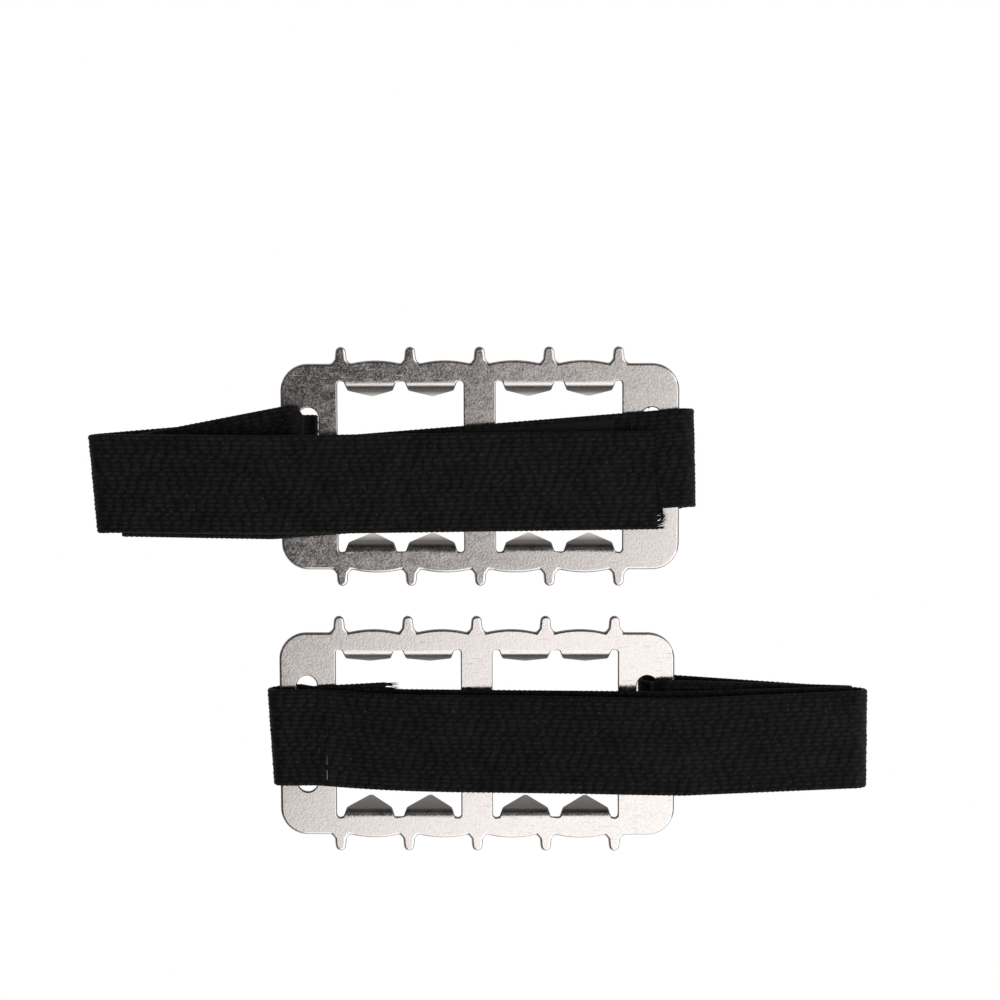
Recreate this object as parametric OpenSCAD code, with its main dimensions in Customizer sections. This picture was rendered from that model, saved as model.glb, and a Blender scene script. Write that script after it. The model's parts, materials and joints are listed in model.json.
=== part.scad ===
// Pair of strap-on ice cleats. Each is a stamped and bent sheet-steel plate with teeth round
// two windows, spikes along its long edges, and a webbing strap threaded through its end slots.
// Millimetres, +Z up. The pair stands on its tooth tips, one cleat turned half round to the other.

/* [Spike plate] */
// Thickness of the sheet
sheet_t = 1.2; // [1:0.1:1.5]
// Corner radius of the plate
corner_r = 5.5; // [3:0.5:7]
// Metal between a window and the plate's long edge
side_bar_w = 3.65; // [3:0.05:6]
// Metal between the two windows
centre_bar_w = 6.5; // [5:0.5:9]

/* [Windows] */
// Size of each window along the plate
window_w = 25.7; // [23:0.1:29]
// Size of each window across the plate
window_l = 34.7; // [31:0.1:37]
// Corner radius of a window
window_r = 0.6; // [0.3:0.1:0.65]
// Depth of the round relief cut beside an end tooth
relief_d = 0.1; // [0.1:0.1:1]

/* [Strap slots] */
// Metal bar between a slot and the end of the plate
bar_w = 3.5; // [3:0.1:4.5]
// Width of a slot along the plate
slot_w = 4.2; // [3.8:0.1:5]
// Room beside the webbing at each end of a slot
slot_play = 2.1; // [2:0.1:2.6]
// Metal between a slot and its window
slot_land = 3.85; // [3:0.05:6]

/* [Inner teeth] */
// Length of a tooth below its bend
tooth_len = 5.8; // [5:0.1:8]
// Width of the blunt tip of a tooth
tooth_tip_w = 0.8; // [0.4:0.1:1.5]
// Inside radius of a tooth's bend
tooth_bend_r = 0.8; // [0.2:0.05:1.2]
// Angle that a tooth is bent down from the plate
tooth_bend = 77; // [70:1:85]
// How far each side of a tooth draws in over its bend
tooth_flare = 0.75; // [0.3:0.05:1.2]
// Gap between a window's end and its end tooth
tooth_side_gap = 1.35; // [1.3:0.05:2]
// Gap between two teeth
tooth_mid_gap = 1.8; // [1.2:0.1:3]

/* [Edge spikes] */
// Spacing of the spikes along an edge
spike_pitch = 14.1; // [12:0.1:15]
// How far a spike reaches past the edge
spike_reach = 3.4; // [2.6:0.1:4.5]
// Width of a spike
spike_w = 2.4; // [2:0.1:3]
// Width of a spike at its root
spike_root_w = 3.7; // [3.2:0.1:4.6]
// Length of the flared root of a spike
spike_flare = 0.9; // [0.5:0.1:1.2]
// Rise of the edge's curve between two spikes
scallop_rise = 0.65; // [0.4:0.05:1]

/* [Webbing] */
// Width of the webbing
strap_w = 20; // [18:0.5:22]
// Thickness of the webbing
strap_t = 1.2; // [1:0.05:1.4]
// Gap between two layers that lie on each other
layer_gap = 0.15; // [0.1:0.05:0.4]
// Clearance between the webbing and the bar that it turns on
bar_play = 0.15; // [0.1:0.05:0.4]
// Clearance between the webbing and the plate that it lies on
seat_gap = 0.1; // [0.05:0.05:0.3]
// Length of the webbing that bends, outside the bar
crease_out = 3; // [2:0.5:5]
// Length of the webbing that bends, inside the bar
crease_in = 7.5; // [7.5:0.5:11]
// Distance from a slot to the seam that closes the sewn loop
seam_inset = 1.7; // [1.2:0.1:3]
// Webbing left past that seam
seam_tail = 14.5; // [8:0.5:16]

/* [Closure] */
// Thickness of the hook tape
hook_t = 0.4; // [0.3:0.05:0.6]
// Thickness of the loop tape
loop_t = 0.4; // [0.3:0.05:0.6]
// Gap between the two tapes
tape_play = 0.1; // [0.05:0.05:0.3]
// Length of a hook tape
hook_len = 28; // [20:1:30]
// How far the loop tape runs past the hook tape, towards the slot
loop_lead = 5; // [2:0.5:6]
// How far the loop tape runs past the hook tape, towards the seam
loop_trail = 1; // [0:0.5:1.5]
// Webbing left bare beside a tape
tape_margin = 1; // [0.5:0.1:2]
// Distance from the slotted bar to the line where the flap lifts
flap_root_len = 26.7; // [20:0.1:27]
// Length of the webbing that bends where the flap lifts
flap_bend_len = 6; // [4:0.5:8]

/* [Stitches] */
// Thickness of the sewing thread
thread_d = 0.4; // [0.3:0.05:0.5]
// Length of a stitch
stitch_len = 2.2; // [1.6:0.1:2.6]
// Spacing of the stitches
stitch_pitch = 3; // [2.8:0.1:4]
// Distance from a tape's edge to its row of stitches
stitch_inset = 1.5; // [1:0.1:3]

/* [Strap of the upper cleat] */
// Distance from the slotted bar to the outer fold
upper_outer_len = 36.7; // [32:0.1:42]
// How far the inner fold stops short of the outer one
upper_fold_lag = 2.4; // [1.5:0.1:6]
// Sideways place of the outer fold
upper_outer_y = -3; // [-5:0.1:5]
// Sideways place of the inner fold
upper_inner_y = -3.4; // [-5:0.1:5]
// Turn of the outer fold in plan
upper_outer_tilt = 5.2; // [0:0.1:10]
// Turn of the inner fold in plan
upper_inner_tilt = 5.7; // [0:0.1:8]
// Sideways place of the strap in the slot
upper_bar_y = 0.8; // [-0.8:0.1:0.8]
// Sideways place of the sewn run over the slotted bar
upper_sewn_bar_y = -4.9; // [-5:0.1:5]
// Sideways place of the sewn run over its own bar
upper_sewn_end_y = 1.8; // [-3:0.1:3]
// Sideways place of the sewn tail
upper_tail_y = 0.8; // [-1:0.1:1]
// How far the sewn loop stands past the plate's end
upper_sewn_out = 3.6; // [2.4:0.1:5]
// Sideways place of the free run
upper_free_y = -2.2; // [-5:0.1:5]
// Distance from the plate's far end back to the cut end of the free run
upper_free_short = 3.1; // [0:0.1:8]
// Bare tab between the hook tape and the cut end
upper_tab = 11; // [9:0.5:14]

/* [Strap of the lower cleat] */
// Distance from the slotted bar to the outer fold
lower_outer_len = 38.6; // [35:0.1:44]
// How far the inner fold stops short of the outer one
lower_fold_lag = 1.6; // [1.2:0.1:6]
// Sideways place of the outer fold
lower_outer_y = -0.3; // [-5:0.1:5]
// Sideways place of the inner fold
lower_inner_y = -1.3; // [-5:0.1:5]
// Sideways place of the strap in the slot
lower_bar_y = -0.8; // [-0.8:0.1:0.8]
// Sideways place of the sewn run over the slotted bar
lower_sewn_bar_y = 1.7; // [-3:0.1:3]
// Sideways place of the sewn run over its own bar
lower_sewn_end_y = 0.2; // [-3:0.1:3]
// Sideways place of the sewn tail
lower_tail_y = -0.3; // [-1:0.1:1]
// How far the sewn loop stands past the plate's end
lower_sewn_out = 2.4; // [2.4:0.1:5]
// Sideways place of the free run
lower_free_y = 0.5; // [-5:0.1:5]
// Gap between the cut end of the free run and the tail of the sewn loop
lower_free_gap = 1.6; // [1:0.1:8]
// Bare tab between the hook tape and the cut end
lower_tab = 4; // [2:0.5:6]

/* [Pair] */
// Distance between the middles of the two plates
pair_pitch = 55; // [52:0.5:80]
// How far the two plates are out of line, end to end
pair_stagger = 0.8; // [0:0.1:6]

/* [Hidden] */

$fn = 48;
ARC_STEPS = 12;
KNEE_STEPS = 3;
SPIKES_PER_EDGE = 5;
SLOT_CLIMB = 45;
OVERLAP = 1;
BEND_PAST = 0.1;
KEY_BACK = 0.5;
KEY_FRONT = 0.2;

STEEL = "silver";
WEBBING = "#1a1a1c";
TAPE = "#101012";
THREAD = "#2b2b2e";
SEAM_THREAD = "#8f8f93";

// The plate is as long and as wide as its windows, bars and slots make it.
plate_len = 2 * (window_w + bar_w + slot_w + slot_land) + centre_bar_w;
plate_w = window_l + 2 * side_bar_w;
window_x = (centre_bar_w + window_w) / 2;
slot_x = plate_len / 2 - bar_w - slot_w / 2;
slot_len = strap_w + 2 * slot_play;
bar_x = plate_len / 2 - bar_w / 2;

tooth_root_w = (window_w - 2 * tooth_side_gap - tooth_mid_gap) / 2;
tooth_x = (tooth_root_w + tooth_mid_gap) / 2;
tooth_w = tooth_root_w - 2 * tooth_flare;
tooth_reach = (tooth_bend_r + sheet_t) * sin(tooth_bend);
tooth_drop = tooth_bend_r * (1 - cos(tooth_bend)) + tooth_len * sin(tooth_bend);
plate_z = tooth_drop + sheet_t / 2;

// Heights of the webbing's layers, from the middle of the sheet to the middle of the webbing.
turn_r = norm([bar_w, sheet_t]) / 2 + bar_play + strap_t / 2;
over_bar_z = turn_r;
middle_z = over_bar_z + strap_t + layer_gap;
top_z = middle_z + strap_t + hook_t + loop_t + tape_play;
under_fold_z = over_bar_z - strap_t - layer_gap;
tail_z = sheet_t / 2 + seat_gap + strap_t / 2;
sewn_z = tail_z + strap_t + layer_gap;

// Places along the plate, with the slotted bar on the -X side.
run_x = -bar_x + crease_in;
cut_x = -bar_x - crease_out;
knee_x = slot_x - slot_w / 2;
seam_x = knee_x - seam_inset;
tail_x = seam_x - seam_tail;
flap_x = -bar_x + flap_root_len;
sewn_fold_r = (sewn_z + tail_z) / 2;
tape_w = strap_w - 2 * tape_margin;

// One strap's lay: folds, sideways places, cut end, tab and which layer is the sewn one.
function lay(outer_len, inner_len, outer_y, inner_y, outer_tilt, inner_tilt, sewn_bar_y, sewn_end_y,
             sewn_out, free_y, free_x, tab, sewn_on_top, bar_y, tail_y) =
    [outer_len, inner_len, outer_y, inner_y, outer_tilt, inner_tilt, sewn_bar_y, sewn_end_y,
     sewn_out, free_y, free_x, tab, sewn_on_top, bar_y, tail_y];
function outer_len(lay) = lay[0];
function inner_len(lay) = lay[1];
function outer_y(lay) = lay[2];
function inner_y(lay) = lay[3];
function outer_tilt(lay) = lay[4];
function inner_tilt(lay) = lay[5];
function sewn_bar_y(lay) = lay[6];
function sewn_end_y(lay) = lay[7];
function sewn_fold_x(lay) = plate_len / 2 + lay[8] - sewn_fold_r - strap_t / 2;
function free_y(lay) = lay[9];
function free_x(lay) = lay[10];
function hook_end_x(lay) = free_x(lay) - lay[11];
function hook_start_x(lay) = hook_end_x(lay) - hook_len;
function sewn_on_top(lay) = lay[12];
function bar_y(lay) = lay[13];
function tail_y(lay) = lay[14];

UPPER = lay(upper_outer_len, upper_outer_len - upper_fold_lag, upper_outer_y, upper_inner_y, upper_outer_tilt,
            upper_inner_tilt, upper_sewn_bar_y, upper_sewn_end_y, upper_sewn_out, upper_free_y,
            plate_len / 2 - upper_free_short, upper_tab, false, upper_bar_y, upper_tail_y);
LOWER = lay(lower_outer_len, lower_outer_len - lower_fold_lag, lower_outer_y, lower_inner_y, 0,
            0, lower_sewn_bar_y, lower_sewn_end_y, lower_sewn_out, lower_free_y,
            tail_x - lower_free_gap, lower_tab, true, lower_bar_y, lower_tail_y);

// The outer fold: how far the layer below the bar climbs to it, its radius and its furthest reach.
function climb(lay) = let(rise = under_fold_z, run = outer_len(lay))
    atan2(rise, run) + asin(turn_r / norm([run, rise]));
function outer_fold_r(lay) = (top_z - under_fold_z) / (1 + cos(climb(lay)));
function outer_fold_x(lay) = -bar_x - outer_len(lay) + outer_fold_r(lay) * sin(climb(lay));
function strap_reach(lay) = -outer_fold_x(lay) + (outer_fold_r(lay) + strap_t / 2) * cos(outer_tilt(lay))
    + strap_w / 2 * abs(sin(outer_tilt(lay)));
function sewn_reach(lay) = sewn_fold_x(lay) + sewn_fold_r + strap_t / 2;

// The pair is centred on its own box.
pair_right = max(sewn_reach(UPPER) + pair_stagger / 2, strap_reach(LOWER) - pair_stagger / 2);
pair_left = max(strap_reach(UPPER) - pair_stagger / 2, sewn_reach(LOWER) + pair_stagger / 2);
pair_shift = (pair_left - pair_right) / 2;
upper_x = pair_shift + pair_stagger / 2;
lower_x = pair_shift - pair_stagger / 2;

// A station of webbing is [x, y, z, tilt, pitch]: its middle, the turn of its width in plan and
// the slope of its run, where a pitch of 180 runs back towards -X.
function corners(s, w, t) = let(
    middle = [s[0], s[1], s[2]],
    across = [-sin(s[3]), cos(s[3]), 0] * w / 2,
    up = [-cos(s[3]) * sin(s[4]), -sin(s[3]) * sin(s[4]), cos(s[4])] * t / 2)
    [middle - across - up, middle + across - up, middle + across + up, middle - across + up];

// Stations round a bend about a level axis; a falling pitch turns to the right of the run.
function bend(centre, r, from, to, tilt = 0, drift = 0, steps = ARC_STEPS) = [
    for (i = [0 : steps]) let(
        pitch = from + (to - from) * i / steps,
        side = to < from ? r : -r,
        along = -side * sin(pitch))
        [centre[0] + along * cos(tilt), centre[1] + along * sin(tilt) + drift * i / steps,
         centre[2] + side * cos(pitch), tilt, pitch]];

// A station moved off its own face.
function lifted(s, d) = [s[0] - d * sin(s[4]), s[1], s[2] + d * cos(s[4]), s[3], s[4]];

function between(a, b, t) = a + (b - a) * t;

// The two runs over the plate are parallel, and slope down to the sewn loop.
function run_slope(lay) = atan(((sewn_on_top(lay) ? top_z : middle_z) - sewn_z) / (knee_x - run_x));
function run_z(lay, x, top) = (top ? top_z : middle_z) - (max(x, run_x) - run_x) * tan(run_slope(lay));
function sewn_y(lay, x) = between(sewn_bar_y(lay), sewn_end_y(lay), (x + bar_x) / (knee_x + bar_x));
function sewn_station(lay, x) =
    [x, sewn_y(lay, x), run_z(lay, x, sewn_on_top(lay)), 0, -run_slope(lay)];
function free_station(lay, x) =
    [x, free_y(lay), run_z(lay, x, !sewn_on_top(lay)), 0, -run_slope(lay)];
function level(s) = [s[0], s[1], s[2], 0, 0];

function inner_fold_route(lay) = let(
    r = (middle_z - over_bar_z) / 2,
    last = sewn_on_top(lay) ? free_station(lay, cut_x) : sewn_station(lay, cut_x))
    concat([[-bar_x, bar_y(lay), over_bar_z, 0, 180]],
           bend([-bar_x - inner_len(lay), inner_y(lay), over_bar_z + r], r, 180, 0, inner_tilt(lay)),
           [level(last)]);

function outer_fold_route(lay) = let(
    rise = climb(lay),
    r = outer_fold_r(lay),
    last = sewn_on_top(lay) ? sewn_station(lay, cut_x) : free_station(lay, cut_x))
    concat([[-bar_x - turn_r * sin(rise), bar_y(lay), -turn_r * cos(rise), 0, 180 - rise]],
           bend([outer_fold_x(lay), outer_y(lay), top_z - r], r, 180 - rise, 0, outer_tilt(lay)),
           [level(last)]);

// The sewn end turns under its bar, climbs through the slot and lies back under the run.
function sewn_route(lay) = let(
    r = 0.75 * strap_t,
    steep = (2 * tail_z - 2 * r * (1 - cos(SLOT_CLIMB))) / sin(SLOT_CLIMB),
    half = r * sin(SLOT_CLIMB) + steep / 2 * cos(SLOT_CLIMB))
    concat([sewn_station(lay, run_x), sewn_station(lay, knee_x)],
           bend([sewn_fold_x(lay), sewn_end_y(lay), sewn_z - sewn_fold_r], sewn_fold_r, 0, -180, 0,
                tail_y(lay) - sewn_end_y(lay)),
           bend([slot_x + half, tail_y(lay), r - tail_z], r, -180, -180 - SLOT_CLIMB, 0, 0, KNEE_STEPS),
           bend([slot_x - half, tail_y(lay), tail_z - r], r, -180 - SLOT_CLIMB, -180, 0, 0, KNEE_STEPS),
           [[tail_x, tail_y(lay), tail_z, 0, -180]]);

// A strip of constant section through its stations.
module strip(stations, w = strap_w, t = strap_t) {
    last = 4 * (len(stations) - 1);
    points = [for (s = stations) each corners(s, w, t)];
    walls = [for (i = [0 : 4 : last - 4], k = [0 : 3]) let(a = i + k, b = i + (k + 1) % 4)
        each [[b, a, a + 4], [b, a + 4, b + 4]]];
    polyhedron(points, concat([[0, 1, 2, 3]], walls, [[last + 3, last + 2, last + 1, last]]));
}

// A stitch at a station: a bar of thread on the face that `side` names, with a leg into the tape.
module stitch(station, side, depth, turned = 0) {
    translate([station[0], station[1], station[2]])
        rotate([0, -station[4], 0]) {
            translate([0, 0, side * strap_t / 2])
                rotate(turned)
                    cube([stitch_len, thread_d, thread_d], center = true);
            translate([0, 0, side * (strap_t - depth) / 2])
                cube([thread_d, thread_d, depth], center = true);
        }
}

module rounded_rect(l, w, r) {
    square([l - 2 * r, w], center = true);
    square([l, w - 2 * r], center = true);
    for (x = [-1, 1], y = [-1, 1])
        translate([x * (l / 2 - r), y * (w / 2 - r)])
            circle(r);
}

// The curved stretch of a long edge between two spikes.
module scallop() {
    chord = spike_pitch - spike_root_w;
    r = (chord * chord / 4 + scallop_rise * scallop_rise) / (2 * scallop_rise);
    intersection() {
        translate([0, scallop_rise - r])
            circle(r, $fn = 180);
        translate([-chord / 2, -OVERLAP])
            square([chord, OVERLAP + 2 * scallop_rise]);
    }
}

module window() {
    relief_r = tooth_side_gap / 2;
    rounded_rect(window_w, window_l, window_r);
    for (x = [-1, 1], y = [-1, 1])
        translate([x * (window_w / 2 - relief_r), y * (window_l / 2 + relief_d - relief_r)])
            circle(relief_r);
}

module slot() {
    straight = slot_len - slot_w;
    square([slot_w, straight], center = true);
    for (y = [-1, 1])
        translate([0, y * straight / 2])
            circle(slot_w / 2);
}

// A spike in the sheet's plane, pointing to +Y, with a flared root and a round tip.
module spike() {
    tip_r = 0.44 * spike_w;
    polygon([[-spike_root_w / 2, -OVERLAP], [spike_root_w / 2, -OVERLAP], [spike_root_w / 2, 0],
             [spike_w / 2, spike_flare], [tip_r, spike_reach - tip_r], [-tip_r, spike_reach - tip_r],
             [-spike_w / 2, spike_flare], [-spike_root_w / 2, 0]]);
    translate([0, spike_reach - tip_r])
        circle(tip_r);
}

module blank() {
    difference() {
        union() {
            rounded_rect(plate_len, plate_w, corner_r);
            for (turn = [0, 180], i = [1 : SPIKES_PER_EDGE - 1])
                rotate(turn)
                    translate([(i - SPIKES_PER_EDGE / 2) * spike_pitch, plate_w / 2])
                        scallop();
            for (turn = [0, 180], i = [0 : SPIKES_PER_EDGE - 1])
                rotate(turn)
                    translate([(i - (SPIKES_PER_EDGE - 1) / 2) * spike_pitch, plate_w / 2])
                        spike();
        }
        for (x = [-1, 1]) {
            translate([x * window_x, 0])
                window();
            translate([x * slot_x, 0])
                slot();
        }
    }
}

// A key in the middle of the sheet that makes two stretches of it one piece.
module key(w) {
    translate([-0.4 * w, -KEY_BACK, -sheet_t / 5])
        cube([0.8 * w, KEY_BACK + KEY_FRONT, 2 * sheet_t / 5]);
}

// A tooth at a window's edge, bent down and in towards +Y: a drawn-in bend and a flat triangle.
module tooth() {
    key(tooth_root_w);
    translate([0, 0, -sheet_t / 2 - tooth_bend_r]) {
        rotate([-tooth_bend, 0, 0])
            translate([0, 0, tooth_bend_r + sheet_t / 2])
                mirror([0, 1, 0])
                    key(tooth_w);
        intersection() {
            rotate([90, 0, 90])
                rotate(90 - tooth_bend)
                    rotate_extrude(angle = tooth_bend)
                        translate([tooth_bend_r, -tooth_root_w / 2])
                            square([sheet_t, tooth_root_w]);
            linear_extrude(3 * sheet_t)
                polygon([[-tooth_root_w / 2, 0], [tooth_root_w / 2, 0],
                         [tooth_w / 2, tooth_reach + BEND_PAST], [-tooth_w / 2, tooth_reach + BEND_PAST]]);
        }
        rotate([-tooth_bend, 0, 0])
            translate([0, 0, tooth_bend_r])
                linear_extrude(sheet_t)
                    polygon([[-tooth_w / 2, 0], [tooth_w / 2, 0],
                             [tooth_tip_w / 2, tooth_len], [-tooth_tip_w / 2, tooth_len]]);
    }
}

module spike_plate() {
    color(STEEL) {
        linear_extrude(sheet_t, center = true)
            blank();
        for (x = [-1, 1], turn = [0, 180], i = [-1, 1])
            translate([x * window_x, 0, 0])
                rotate(turn)
                    translate([i * tooth_x, -window_l / 2, 0])
                        tooth();
    }
}

// The webbing's round turn about the slotted bar, which the folded end swings on.
module bar_bend(lay) {
    color(WEBBING)
        translate([-bar_x, bar_y(lay), 0])
            rotate([90, 0, 0])
                rotate(-90 - climb(lay))
                    rotate_extrude(angle = 180 + climb(lay), $fn = 96)
                        translate([turn_r - strap_t / 2, -strap_w / 2])
                            square([strap_t, strap_w]);
}

module inner_fold(lay) {
    color(WEBBING)
        strip(inner_fold_route(lay));
}

module outer_fold(lay) {
    color(WEBBING)
        strip(outer_fold_route(lay));
}

module sewn_crease(lay) {
    color(WEBBING)
        strip([level(sewn_station(lay, cut_x)), sewn_station(lay, run_x)]);
}

module sewn_run(lay) {
    color(WEBBING)
        strip(sewn_route(lay));
}

module bar_seam(lay) {
    count = floor((strap_w - stitch_len) / stitch_pitch);
    under = sewn_z + strap_t / 2 - tail_z;
    color(SEAM_THREAD)
        for (i = [0 : count])
            translate([0, (i - count / 2) * stitch_pitch, 0])
                stitch(sewn_station(lay, seam_x), 1, under, 90);
}

module free_crease(lay) {
    color(WEBBING)
        strip([level(free_station(lay, cut_x)), free_station(lay, run_x)]);
}

// A length of the free run.
module free_stretch(lay, from, to) {
    color(WEBBING)
        strip([free_station(lay, from), free_station(lay, to)]);
}

// Each tape lies on the face of its run that looks to the other run.
function tape_side(lay, on_sewn) = sewn_on_top(lay) == on_sewn ? -1 : 1;
function tape_span(lay, on_sewn) = on_sewn
    ? [hook_start_x(lay) - loop_lead, hook_end_x(lay) + loop_trail]
    : [hook_start_x(lay), hook_end_x(lay)];
function tape_station(lay, on_sewn, x) = on_sewn ? sewn_station(lay, x) : free_station(lay, x);

module tape(lay, on_sewn, thickness) {
    offset_n = tape_side(lay, on_sewn) * (strap_t + thickness) / 2;
    color(TAPE)
        strip([for (x = tape_span(lay, on_sewn)) lifted(tape_station(lay, on_sewn, x), offset_n)],
              tape_w, thickness);
}

module tape_stitching(lay, on_sewn, thickness) {
    span = tape_span(lay, on_sewn);
    row_y = tape_w / 2 - stitch_inset;
    count = floor((span[1] - span[0] - stitch_len) / stitch_pitch);
    first = (span[0] + span[1] - count * stitch_pitch) / 2;
    color(THREAD)
        for (i = [0 : count], y = [-row_y, row_y])
            translate([0, y, 0])
                stitch(tape_station(lay, on_sewn, first + i * stitch_pitch),
                       -tape_side(lay, on_sewn), strap_t + thickness / 2);
}

module in_upper() {
    translate([upper_x, pair_pitch / 2, plate_z])
        children();
}

module in_lower() {
    translate([lower_x, -pair_pitch / 2, plate_z])
        rotate(180)
            children();
}

module upper_spike_plate() { in_upper() spike_plate(); }
module upper_bar_bend() { in_upper() bar_bend(UPPER); }
module upper_inner_fold() { in_upper() inner_fold(UPPER); }
module upper_outer_fold() { in_upper() outer_fold(UPPER); }
module upper_sewn_crease() { in_upper() sewn_crease(UPPER); }
module upper_sewn_run() { in_upper() sewn_run(UPPER); }
module upper_bar_seam() { in_upper() bar_seam(UPPER); }
module upper_loop_tape() { in_upper() tape(UPPER, true, loop_t); }
module upper_loop_stitching() { in_upper() tape_stitching(UPPER, true, loop_t); }
module upper_free_crease() { in_upper() free_crease(UPPER); }
module upper_flap_root() { in_upper() free_stretch(UPPER, run_x, flap_x - flap_bend_len / 2); }
module upper_flap_bend() {
    in_upper() free_stretch(UPPER, flap_x - flap_bend_len / 2, flap_x + flap_bend_len / 2);
}
module upper_flap() { in_upper() free_stretch(UPPER, flap_x + flap_bend_len / 2, free_x(UPPER)); }
module upper_hook_tape() { in_upper() tape(UPPER, false, hook_t); }
module upper_hook_stitching() { in_upper() tape_stitching(UPPER, false, hook_t); }

module lower_spike_plate() { in_lower() spike_plate(); }
module lower_bar_bend() { in_lower() bar_bend(LOWER); }
module lower_inner_fold() { in_lower() inner_fold(LOWER); }
module lower_outer_fold() { in_lower() outer_fold(LOWER); }
module lower_sewn_crease() { in_lower() sewn_crease(LOWER); }
module lower_sewn_run() { in_lower() sewn_run(LOWER); }
module lower_bar_seam() { in_lower() bar_seam(LOWER); }
module lower_loop_tape() { in_lower() tape(LOWER, true, loop_t); }
module lower_loop_stitching() { in_lower() tape_stitching(LOWER, true, loop_t); }
module lower_free_crease() { in_lower() free_crease(LOWER); }
module lower_free_run() { in_lower() free_stretch(LOWER, run_x, free_x(LOWER)); }
module lower_hook_tape() { in_lower() tape(LOWER, false, hook_t); }
module lower_hook_stitching() { in_lower() tape_stitching(LOWER, false, hook_t); }

upper_spike_plate();
upper_bar_bend();
upper_inner_fold();
upper_outer_fold();
upper_sewn_crease();
upper_sewn_run();
upper_bar_seam();
upper_loop_tape();
upper_loop_stitching();
upper_free_crease();
upper_flap_root();
upper_flap_bend();
upper_flap();
upper_hook_tape();
upper_hook_stitching();
lower_spike_plate();
lower_bar_bend();
lower_inner_fold();
lower_outer_fold();
lower_sewn_crease();
lower_sewn_run();
lower_bar_seam();
lower_loop_tape();
lower_loop_stitching();
lower_free_crease();
lower_free_run();
lower_hook_tape();
lower_hook_stitching();
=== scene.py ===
"""A pair of strap-on ice cleats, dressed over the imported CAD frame.

Two stamped steel plates lie side by side, the lower one turned half round.
Each carries one length of black webbing, folded on it and held by sewn tapes.
Lengths are in millimetres until a mesh is made, and in metres in materials and in the studio.
Angles are in degrees, unless a class says otherwise.
"""

from __future__ import annotations

import json
import logging
from collections.abc import Callable, Sequence
from dataclasses import dataclass
from enum import Enum

import bmesh
import bpy
import numpy as np
from mathutils import Matrix, Vector

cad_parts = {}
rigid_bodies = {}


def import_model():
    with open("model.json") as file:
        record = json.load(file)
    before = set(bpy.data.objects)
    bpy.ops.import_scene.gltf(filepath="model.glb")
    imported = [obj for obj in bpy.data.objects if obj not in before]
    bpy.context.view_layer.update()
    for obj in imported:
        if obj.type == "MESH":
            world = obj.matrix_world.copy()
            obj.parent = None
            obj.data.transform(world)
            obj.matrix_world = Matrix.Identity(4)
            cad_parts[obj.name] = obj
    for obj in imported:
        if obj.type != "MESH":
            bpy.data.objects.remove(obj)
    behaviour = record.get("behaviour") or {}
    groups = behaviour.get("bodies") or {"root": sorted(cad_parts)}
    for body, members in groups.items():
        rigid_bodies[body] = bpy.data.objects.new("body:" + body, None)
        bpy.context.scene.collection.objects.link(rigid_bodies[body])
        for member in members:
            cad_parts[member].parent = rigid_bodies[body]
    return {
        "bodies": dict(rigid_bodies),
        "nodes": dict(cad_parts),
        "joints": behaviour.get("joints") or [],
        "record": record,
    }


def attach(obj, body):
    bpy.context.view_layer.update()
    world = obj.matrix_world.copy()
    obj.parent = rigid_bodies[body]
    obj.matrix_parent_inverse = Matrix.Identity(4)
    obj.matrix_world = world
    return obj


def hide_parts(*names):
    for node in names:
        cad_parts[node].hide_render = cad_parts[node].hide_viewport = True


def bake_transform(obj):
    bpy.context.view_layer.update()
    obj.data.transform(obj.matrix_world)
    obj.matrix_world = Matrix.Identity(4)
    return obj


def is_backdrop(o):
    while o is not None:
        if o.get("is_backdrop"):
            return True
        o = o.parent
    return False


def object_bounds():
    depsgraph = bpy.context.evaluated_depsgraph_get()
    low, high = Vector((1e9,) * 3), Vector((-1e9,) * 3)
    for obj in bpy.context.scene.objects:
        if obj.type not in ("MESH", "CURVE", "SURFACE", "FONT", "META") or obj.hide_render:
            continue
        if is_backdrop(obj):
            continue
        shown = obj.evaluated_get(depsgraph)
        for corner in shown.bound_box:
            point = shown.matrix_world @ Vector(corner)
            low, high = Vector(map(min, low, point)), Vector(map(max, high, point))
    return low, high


LOG = logging.getLogger("ice_cleats")
MM = 0.001
ARC_STEPS = 24
SEED = 417
CLOTH_MAP = "cloth"
RELIEF_LAYER = "relief"
BUMP_DEPTH = 0.04 * MM
SAME_PLACE = 1e-6

# Columns of a station, which is a row of x, y, z, tilt and pitch
SIDE_COLUMN = 1
TILT_COLUMN = 3
PITCH_COLUMN = 4

Array = np.ndarray
ReliefFn = Callable[[Array, Array, Array], Array]
Span = tuple[float, float]
Triple = tuple[float, float, float]
Colour = tuple[float, float, float, float]


class Slot(str, Enum):
    """The record's material slots."""

    STEEL = "stainless"
    WEBBING = "webbing"
    TAPE = "tape"
    THREAD = "thread"
    SEAM = "seam_thread"


class Held(str, Enum):
    """How a length of webbing is held."""

    FOLDED = "folded"
    LAID = "laid"


# Sizes


@dataclass(frozen=True)
class PlateSizes:
    """Sizes of one stamped plate, the places along it and how its skin is rounded."""

    length: float = 81.0
    width: float = 42.0
    outline_share: float = 0.465
    middle_z: float = 6.8714
    bar_x: float = 38.75
    slot_x: float = 34.9
    knee_x: float = 32.8
    seam_x: float = 30.6
    run_x: float = -31.25
    cut_x: float = -41.75
    flap_x: float = -12.05
    flap_bend: float = 6.0
    flat_cuts: tuple[float, ...] = (-34.4, -16.6, 16.6, 34.4)
    outline_round: float = 0.5
    inner_share: float = 0.52
    round_steps: int = 4
    merge: float = 0.002
    sliver: float = 0.06
    flat_angle: float = 1.5
    sharp_angle: float = 32.0
    flat_weight: int = 100


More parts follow.
